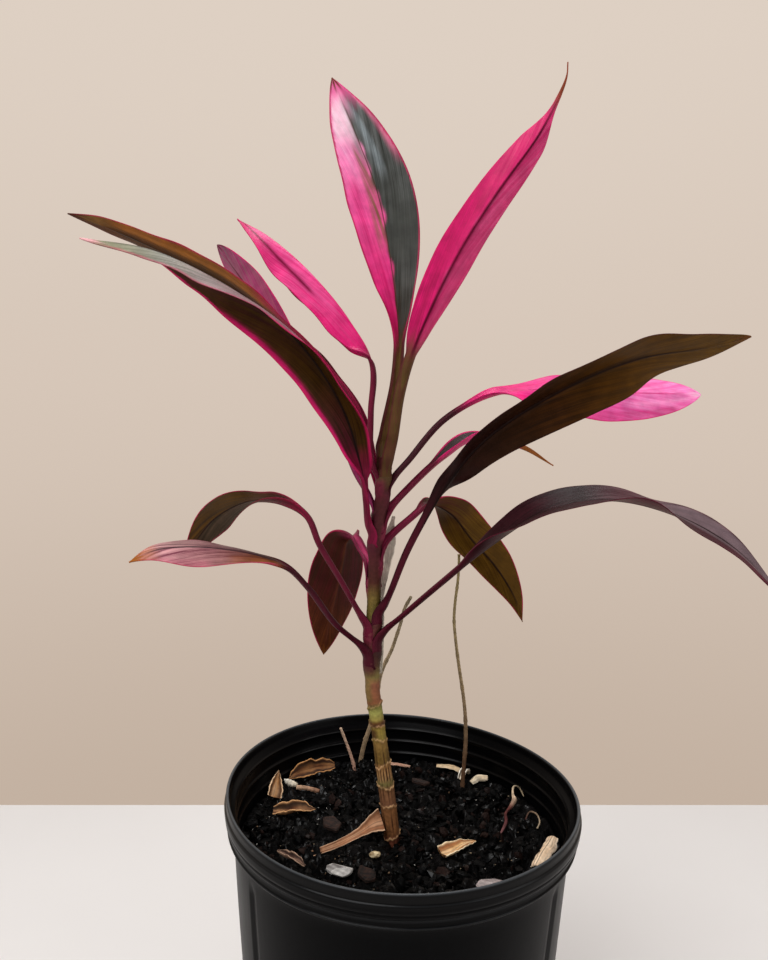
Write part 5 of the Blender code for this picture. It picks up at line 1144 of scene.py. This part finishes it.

# Dried ribbons: the heading, the roll and the curl of their halves, the colours of the edge (lighter, and painted along
# the rims as a highlight), the body and the hollow (dark, painted as shade on the inner skin's flanks), the half widths
# along them, and a line with heights above the soil.
# "lines" is how strong the lengthwise lines on them are.
CURLS = {
    "curl_back_left": {
        "heading": 25, "roll": 48, "curl": 80, "lines": 0.35,
        "colours": (srgb(196, 142, 90), srgb(92, 50, 20), srgb(34, 16, 8)),
        "halves": [0.5, 1.0, 4, 6.4, 7.6, 8.6, 5.8, 6.6, 5.4, 2.4],
        "line": [(-86, 72, 4), (-80, 79, 7), (-66, 87, 9), (-48, 91, 9)]},
    "curl_left": {
        "heading": -4, "roll": 12, "curl": 92, "lines": 0.35,
        "colours": (srgb(214, 162, 112), srgb(88, 46, 20), srgb(22, 10, 6)),
        "halves": [4.5, 7.5, 8, 8, 7.5, 6, 3, 0.6],
        "line": [(-92, 28, 3), (-82, 29, 3), (-72, 28, 3), (-60, 25, 4)]},
    "curl_front_left": {
        "heading": -35, "curl": 110, "colours": (srgb(170, 138, 116), srgb(96, 66, 54), srgb(40, 24, 20)),
        "halves": [0.8, 4, 4.5, 3, 0.8],
        "line": [(-81, -22, 2), (-74, -28, 4), (-67, -34, 4), (-61, -38, 1)]},
    "dry_leaf_right": {
        "heading": 30, "roll": 8, "curl": 75, "lines": 0.4,
        "colours": (srgb(248, 226, 188), srgb(224, 178, 118), srgb(150, 88, 44)),
        "halves": [6.5, 7.5, 6.5, 4.5, 2.4, 0.5],
        "line": [(30, -26, 3), (38, -21, 4), (46, -16, 5), (55, -11, 5)]},
    "white_curl_near": {
        "heading": 60, "curl": 100, "colours": (srgb(250, 244, 230), srgb(214, 196, 168), srgb(60, 42, 28)),
        "halves": [2.4, 4.4, 4.2, 2.4],
        "line": [(53, 79, 2), (57, 84, 5), (60, 88, 2)]},
    "white_curl_far": {
        "heading": 10, "curl": -140, "lines": 0.5, "colours": (srgb(250, 240, 218), srgb(222, 200, 166), srgb(60, 42, 28)),
        "halves": [3.4, 5, 5.4, 4.4],
        "line": [(61, 73, 2), (67, 75, 5), (75, 75, 5)]},
    "tan_strip": {
        "heading": -30, "curl": -60, "colours": (srgb(240, 218, 184), srgb(206, 176, 136), srgb(96, 66, 40)),
        "halves": [2.6, 3.6, 3.6, 2.6],
        "line": [(35, 101, 3), (47, 97, 4), (58, 90, 2)]},
    "thin_strip": {
        "heading": -25, "curl": -80, "colours": (srgb(200, 164, 140), srgb(156, 116, 96), srgb(70, 44, 34)),
        "halves": [1.6, 2.0, 2.0, 1.6],
        "line": [(-8, 108, 3), (2, 104, 3.5), (13, 99, 3)]},
}
STALKS = {
    "stub": {"radii": (0.5, 2.2, 2.8, 2.4, 1.4), "colours": (srgb(246, 240, 226), srgb(214, 200, 176)),
             "line": [(-89, 73, 4), (-84, 69, 3), (-78, 66, 3)]},
    "stalk_left": {"radii": (1.8, 1.6, 1.7), "colours": (srgb(196, 160, 130), srgb(150, 108, 84)),
                   "line": [(-78, 63, 3), (-70, 61, 3), (-60, 58, 2)]},
    "root_long": {
        "radii": (0.45, 0.6, 0.7, 0.9, 1.9, 1.6, 0.9, 1.2, 1.1, 0.6),
        "colours": (srgb(190, 170, 140), srgb(206, 184, 152), srgb(226, 196, 166), srgb(104, 56, 50), srgb(84, 40, 40),
                    srgb(140, 92, 92)),
        "line": [(103, 50, 3), (100, 54, 8), (95, 50, 11), (93, 42, 9), (93, 35, 9), (89, 27, 8), (84, 20, 5), (83, 12, 4),
                 (77, 2, 2)]},
    "root_short": {
        "radii": (0.5, 0.6, 0.5), "colours": (srgb(80, 44, 40), srgb(150, 126, 102), srgb(196, 176, 148)),
        "line": [(95, 20, 2), (99, 25, 5), (103, 20, 6), (104, 13, 4), (101, 7, 2)]},
}
STRIP = {"heading": 90, "roll": 0, "curl": 25, "halves": [1.2, 4.2, 2.2, 1.6, 2.4, 1.8, 0.9],
         "colours": (srgb(226, 220, 206), srgb(186, 178, 164), srgb(140, 132, 120)),
         "line": [(-2, 19, 428), (-4, 19, 418), (-6, 18, 397), (-9, 17, 381), (-11, 16, 366), (-11, 16, 345),
                  (-11, 16, 316)]}
SHEATH = {"heading": 205, "roll": -50, "curl": 62, "lines": 0.5, "waves": 0.3, "hold": 1,
          "halves": [9, 6.5, 4.2, 3.0, 2.6, 2.5, 2.3, 2.2, 2.1, 1.9],
          "colours": (srgb(226, 186, 152), srgb(186, 130, 92), srgb(150, 98, 66)),
          "line": [(-10, -12, 221), (-16, -13, 219), (-26, -16, 214), (-38, -20, 209.5), (-57, -29.5, 207)]}
# Where the soil is kept low beyond the sheath's end
SHEATH_REST = (-66, -34, 204)
# Two chips that are dried scraps: points of their lines in space
SCRAPS = {
    "chip_triangle": {
        "heading": 100, "roll": 14, "curl": 78, "lines": 0.3,
        "colours": (srgb(236, 200, 162), srgb(172, 118, 64), srgb(64, 34, 16)),
        "halves": [7.4, 7.6, 6.2, 4.4, 2.2, 0.4], "line": [(-94, 46, 203), (-93, 50, 208), (-92, 55, 214), (-91, 58, 219)]},
    "chip_wood": {
        "heading": 60, "roll": -12, "curl": -75, "lines": 0.75, "waves": 1.8,
        "colours": (srgb(246, 226, 200), srgb(226, 194, 160), srgb(150, 112, 84)),
        "halves": [5.5, 6.6, 6.4, 5.4, 6.4, 6, 5, 3.6], "line": [(91, -44, 204), (96, -36, 206.5), (102, -28, 208.5), (107, -20, 210)]},
}
PEBBLES = {
    "pebble_quartz": {"place": (-38, -44), "half": (9.5, 5.4, 4.6), "turn": -4, "flat": 0.5,
                      "colours": (srgb(112, 106, 104), srgb(232, 228, 222))},
    "pebble_grey": {"place": (58, -60), "half": (10.5, 6, 3.6), "turn": 14, "flat": 0.5,
                    "colours": (srgb(160, 146, 144), srgb(206, 192, 188))},
    "pebble_pale": {"place": (-15, -27), "half": (4, 2.6, 2.2), "turn": 10, "flat": 0.9,
                    "colours": (srgb(226, 208, 168), srgb(130, 104, 70))},
}


def seated(rings, name, share=0.5):
    """Rings moved onto the solid that they replace: their lowest place, and a share across their box."""
    low, high = (np.array(corner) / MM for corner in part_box(name))
    flat = rings.reshape(-1, 3)
    least, most = flat.min(0), flat.max(0)
    shift = low + (high - low) * share - least - (most - least) * share
    shift[2] = low[2] - flat[:, 2].min()
    return rings + shift


def above_soil(points):
    """Points whose heights are above the soil, as points in space."""
    return [(x, y, soil_height(x, y) + rise) for x, y, rise in points]


def make_ribbon(name, ribbon, points, finish, rng):
    """A dried ribbon: its halves curl up or down, its skin is wrinkled lengthways, its hollow has painted shade and its
    rims a painted highlight.
    """
    line = smooth_line(points)
    stations = np.linspace(0, length_of(line), 80)
    share = stations / stations[-1]
    width = eased(share, list(zip(np.linspace(0, 1, len(ribbon["halves"])), ribbon["halves"])))
    waves = ribbon.get("waves", 1)
    width = width * (1 + 0.05 * waves * np.sin(stations * 0.7 + rng.uniform(0, TURN)))
    curl = np.radians(ribbon["curl"]) * width / width.max()
    same = np.ones_like(stations)
    heading, roll = np.radians(ribbon["heading"]) * same, np.radians(ribbon.get("roll", 0)) * same
    side, face = frame_along(line, stations, heading, roll)
    v, arc, across, up, angle = section_places(width, 0 * same, curl)
    halves = []
    for sign in (-1, 1):
        wrinkle = 0.22 * np.sin(7 * v[None, :] + 0.25 * stations[:, None] + sign) + 0.15 * waves * np.sin(
            stations[:, None] * 1.3 + 3 * v[None, :] * sign)
        normal = np.stack([-sign * np.sin(angle), np.cos(angle)], -1)
        middle = np.stack([sign * across, up], -1) + normal * (wrinkle * v[None, :])[..., None]
        halves.append((middle + normal * 0.35, middle - normal * 0.35))
    left, right = halves
    flat = np.concatenate([left[0][:, :0:-1], right[0], right[1][:, ::-1], left[1][:, 1:]], axis=1)
    rings = at_distances(line, stations)[:, None, :] + flat[..., :1] * side[:, None, :] + flat[..., 1:] * face[:, None, :]
    signed = np.concatenate([-v[:0:-1], v, v[::-1], -v[1:]])
    tone = 0.5 + 0.3 * np.sin(9 * signed[None, :] + 0.12 * stations[:, None]) + 0.25 * np.sin(stations[:, None] * 0.35)
    tone = np.clip(tone + 0.35 * (np.abs(signed[None, :]) > 0.85), 0, 1)
    edge, body, hollow_shade = (np.broadcast_to(colour, (*tone.shape, 3)) for colour in ribbon["colours"])
    # Painted highlight: the rims take the edge colour. Painted shade: the inner skin, most on its flanks, takes the
    # hollow's dark colour.
    rim = smooth_step(np.abs(signed), 0.72, 1.0)[None, :]
    upper = np.arange(len(signed)) < 2 * HALF_STEPS + 1
    flank_shade = smooth_step(np.abs(signed), 0.1, 0.62)[None, :] * (1 - rim)
    inner = (upper if ribbon["curl"] > 0 else ~upper)[None, :] * np.maximum(flank_shade, 0.25 * (1 - rim))
    tint = blend(blend(body, edge, np.maximum(tone * 0.5, rim)), hollow_shade, 0.9 * inner)
    drift = 0.9 * np.sin(0.09 * stations[:, None] + 2 * signed[None, :]) + 0.5 * np.sin(0.31 * stations[:, None])
    lines = smooth_step(np.sin(17 * signed[None, :] + drift) + 0.5 * np.sin(31 * signed[None, :] + 2 * drift), 0.3, 1.3)
    tint = tint * (1 - ribbon.get("lines", 0.2) * lines * (1 - 0.7 * rim))[..., None]
    made = loft(f"{name}_look", seated(rings, name, ribbon.get("hold", 0.5)), {"tint": tint}, finish)
    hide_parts(name)


def make_stalk(name, points, radii, colours, finish, knobs, steps):
    """A twig, stalk or root: a tube whose radius swells at knobs and whose bark is ribbed."""
    line = smooth_line(points)
    stations = np.linspace(0, length_of(line), steps)
    radii = np.interp(stations / stations[-1], np.linspace(0, 1, len(radii)), radii)

    def shape(along, turn):
        """Shares of the radius: swellings every so often, ribs and small scars."""
        knob = np.exp(-((along % knobs - knobs / 2) / 1.6) ** 2) if knobs else 0 * along
        return 1 + 0.2 * knob + 0.05 * np.sin(5 * turn + along * 0.05) + 0.06 * np.sin(along * 1.9 + 2 * turn)

    rings, turns = tube_rings(line, stations, radii, 16, shape)
    tone = 0.5 + 0.3 * np.sin(5 * turns[None, :] + stations[:, None] * 0.05) + 0.2 * np.sin(stations[:, None] * 0.7)
    places = np.linspace(0, stations[-1], len(colours))
    main = np.stack([np.interp(stations, places, [colour[k] for colour in colours]) for k in range(3)], -1)
    main = np.broadcast_to(main[:, None, :], (*tone.shape, 3))
    tint = blend(main * 0.45, main, np.clip(tone + 0.2, 0, 1))
    made = loft(f"{name}_look", rings if name.startswith("twig") else seated(rings, name), {"tint": tint}, finish)
    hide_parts(name)


def make_pebble(name, pebble, finish, rng):
    """A pebble: a ball cut by planes, each with its own tone, and stretched to its half sizes."""
    polar = np.linspace(0.03, math.pi - 0.03, 40)[:, None]
    turns = np.linspace(0, TURN, 64, endpoint=False)[None, :]
    ball = np.stack([np.sin(polar) * np.cos(turns), np.sin(polar) * np.sin(turns), np.cos(polar) + 0 * turns], -1)
    size, tone = np.ones(ball.shape[:2]), np.full(ball.shape[:2], 0.5)
    for _ in range(22):
        way = rng.normal(size=3)
        way /= np.linalg.norm(way)
        cap = rng.uniform(pebble["flat"], 0.95)
        facing = ball @ way
        cut = np.where(facing > 0.2, cap / np.maximum(facing, 0.2), 9.0)
        tone = np.where(cut < size, rng.uniform(0, 1), tone)
        size = np.minimum(size, cut)
    stretched = ball * size[..., None] * np.array(pebble["half"])
    turn = math.radians(pebble["turn"])
    spin = np.array([[math.cos(turn), -math.sin(turn), 0], [math.sin(turn), math.cos(turn), 0], [0, 0, 1]])
    tone = np.clip(tone + 0.25 * np.sin(6 * ball[..., 0] + 5 * ball[..., 1]) * np.cos(7 * ball[..., 2]), 0, 1)
    first, second = pebble["colours"]
    tint = blend(np.broadcast_to(first, ball.shape), np.broadcast_to(second, ball.shape), tone)
    made = loft(f"{name}_look", seated(stretched @ spin.T, name), {"tint": tint}, finish, smooth=False)
    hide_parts(name)


def chip_finish(name, first, second):
    """A chip of bark or wood: layers of two tones with cracks along them."""
    sheet = skin(name, Specular_IOR_Level=0.3)
    place = sheet.place()
    layers = sheet.noise(sheet.node("ShaderNodeMapping", inputs={0: place, 3: (160.0, 420.0, 900.0)}), 1.0, 4.0, 0.6)
    grain = sheet.noise(place, 900.0, 4.0)
    colour = sheet.mix(layers.step(0.35, 0.65), first, second)
    return sheet.wear(Base_Color=colour, Roughness=grain * 0.2 + 0.7, Normal=sheet.bump(layers + grain * 0.4, 0.9, 0.8))


# ---- the stage

def make_stage():
    """A pale floor that ends behind the pot, a plain light room, soft lamps and the camera."""
    sheet = skin("floor_paint", Roughness=0.6, Specular_IOR_Level=0.2)
    cloud = sheet.noise(sheet.place(), 3.0, 3.0)
    sheet.wear(Base_Color=sheet.mix(cloud, srgb(226, 223, 222), srgb(236, 234, 233)))
    mesh = bpy.data.meshes.new("floor")
    mesh.from_pydata([(-2, -2, 0), (2, -2, 0), (2, FLOOR_END * MM, 0), (-2, FLOOR_END * MM, 0)], [], [(0, 1, 2, 3)])
    mesh.materials.append(sheet.owner)
    floor = bpy.data.objects.new("floor", mesh)
    bpy.context.scene.collection.objects.link(floor)
    world = bpy.data.worlds.new("room")
    bpy.context.scene.world = world
    room = Sheet(world, "Background")
    way = room.node("ShaderNodeTexCoord")
    north, rise = (room.node("ShaderNodeSeparateXYZ", inputs={0: way}, out=part) for part in (1, 2))
    tone = room.mix(rise.step(-0.5, 0.1), srgb(194, 176, 160), srgb(214, 198, 184))
    tone = room.mix(rise.step(0.0, 0.5), tone, srgb(222, 208, 195))
    glow = (north.step(-0.5, 0.4) * 0.58 + 0.42) * (1 - rise.step(0.52, 0.72) * 0.8)
    room.wear(Color=tone, Strength=glow)
    for name, place, aim, size, energy in LAMPS:
        lamp = bpy.data.lights.new(name, "AREA")
        lamp.size = size
        lamp.energy = energy
        holder = bpy.data.objects.new(name, lamp)
        way = np.array(aim, float) - np.array(place, float)
        flat = math.hypot(way[0], way[1])
        holder.rotation_euler = (math.pi / 2 + math.atan2(way[2], flat), 0, math.atan2(way[1], way[0]) - math.pi / 2)
        holder.location = place
        bpy.context.scene.collection.objects.link(holder)
    camera = bpy.data.cameras.new("camera")
    camera.lens = CAMERA_LENS
    camera.clip_start = 0.01
    holder = bpy.data.objects.new("camera", camera)
    holder.location = [value * MM for value in CAMERA_PLACE]
    holder.rotation_euler = (math.radians(90 - CAMERA_PITCH), 0, 0)
    bpy.context.scene.collection.objects.link(holder)
    bpy.context.scene.camera = holder
    bpy.context.scene.view_settings.view_transform = "Standard"


def main():
    """Makes every piece."""
    make_stage()
    leaf_finishes = {
        "leaf_hot_pink": leaf_finish("hot_pink_leaf", 0.4, 0.14), "leaf_magenta": leaf_finish("magenta_leaf", 0.45, 0.04),
        "leaf_olive": leaf_finish("olive_leaf", 0.42, 0.02), "leaf_maroon": leaf_finish("maroon_leaf", 0.4, 0.02)}
    for number, (name, leaf) in enumerate(LEAVES.items()):
        look = LOOKS[name]
        make_leaf(name, leaf, look, leaf_finishes[look["slot"]], 11 + number)
    rng = np.random.default_rng(5)
    soil = soil_finish()
    dry = painted_finish("dried_leaf", 0.75, 3.0, 0.5, 0.3)
    wood = painted_finish("dead_wood", 0.85, 1.6, 0.6, 0.35)
    stone = painted_finish("pebble_skin", 0.6, 1.2, 0.35, 0.2)
    make_pot(pot_finish())
    make_soil(soil, rng)
    make_cane(painted_finish("cane_bark", 0.6, 2.2, 0.5, 0.25))
    barks = [srgb(2, 2, 2), srgb(4, 4, 4), srgb(9, 8, 8), srgb(3, 3, 4), srgb(6, 6, 6), srgb(13, 12, 12), srgb(30, 19, 16)]
    make_crumbs("soil_crumbs", 3000, (1.4, 11), barks, soil, rng)
    specks = [srgb(190, 186, 178), srgb(150, 132, 108), srgb(120, 96, 74)]
    make_crumbs("soil_specks", 320, (0.5, 2.0), specks, soil, rng, 1.2)
    for name, twig in TWIGS.items():
        make_stalk(name, twig["line"], twig["radii"], twig["colours"], wood, 27, 240)
    for name, stalk in STALKS.items():
        make_stalk(name, above_soil(stalk["line"]), stalk["radii"], stalk["colours"], wood, 0, 60)
    for name, curl in CURLS.items():
        make_ribbon(name, curl, above_soil(curl["line"]), dry, rng)
    make_ribbon("dry_strip", STRIP, STRIP["line"], dry, rng)
    make_ribbon("dry_sheath", SHEATH, SHEATH["line"], dry, rng)
    for name, scrap in SCRAPS.items():
        make_ribbon(name, scrap, scrap["line"], dry, rng)
    for name, pebble in PEBBLES.items():
        make_pebble(name, pebble, stone, rng)
    bark = chip_finish("bark_chip", srgb(18, 12, 10), srgb(54, 34, 26))
    for name in ("chip_bark", "chip_back", "chip_left"):
        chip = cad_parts[name]
        chip.data.materials.clear()
        chip.data.materials.append(bark)


main()
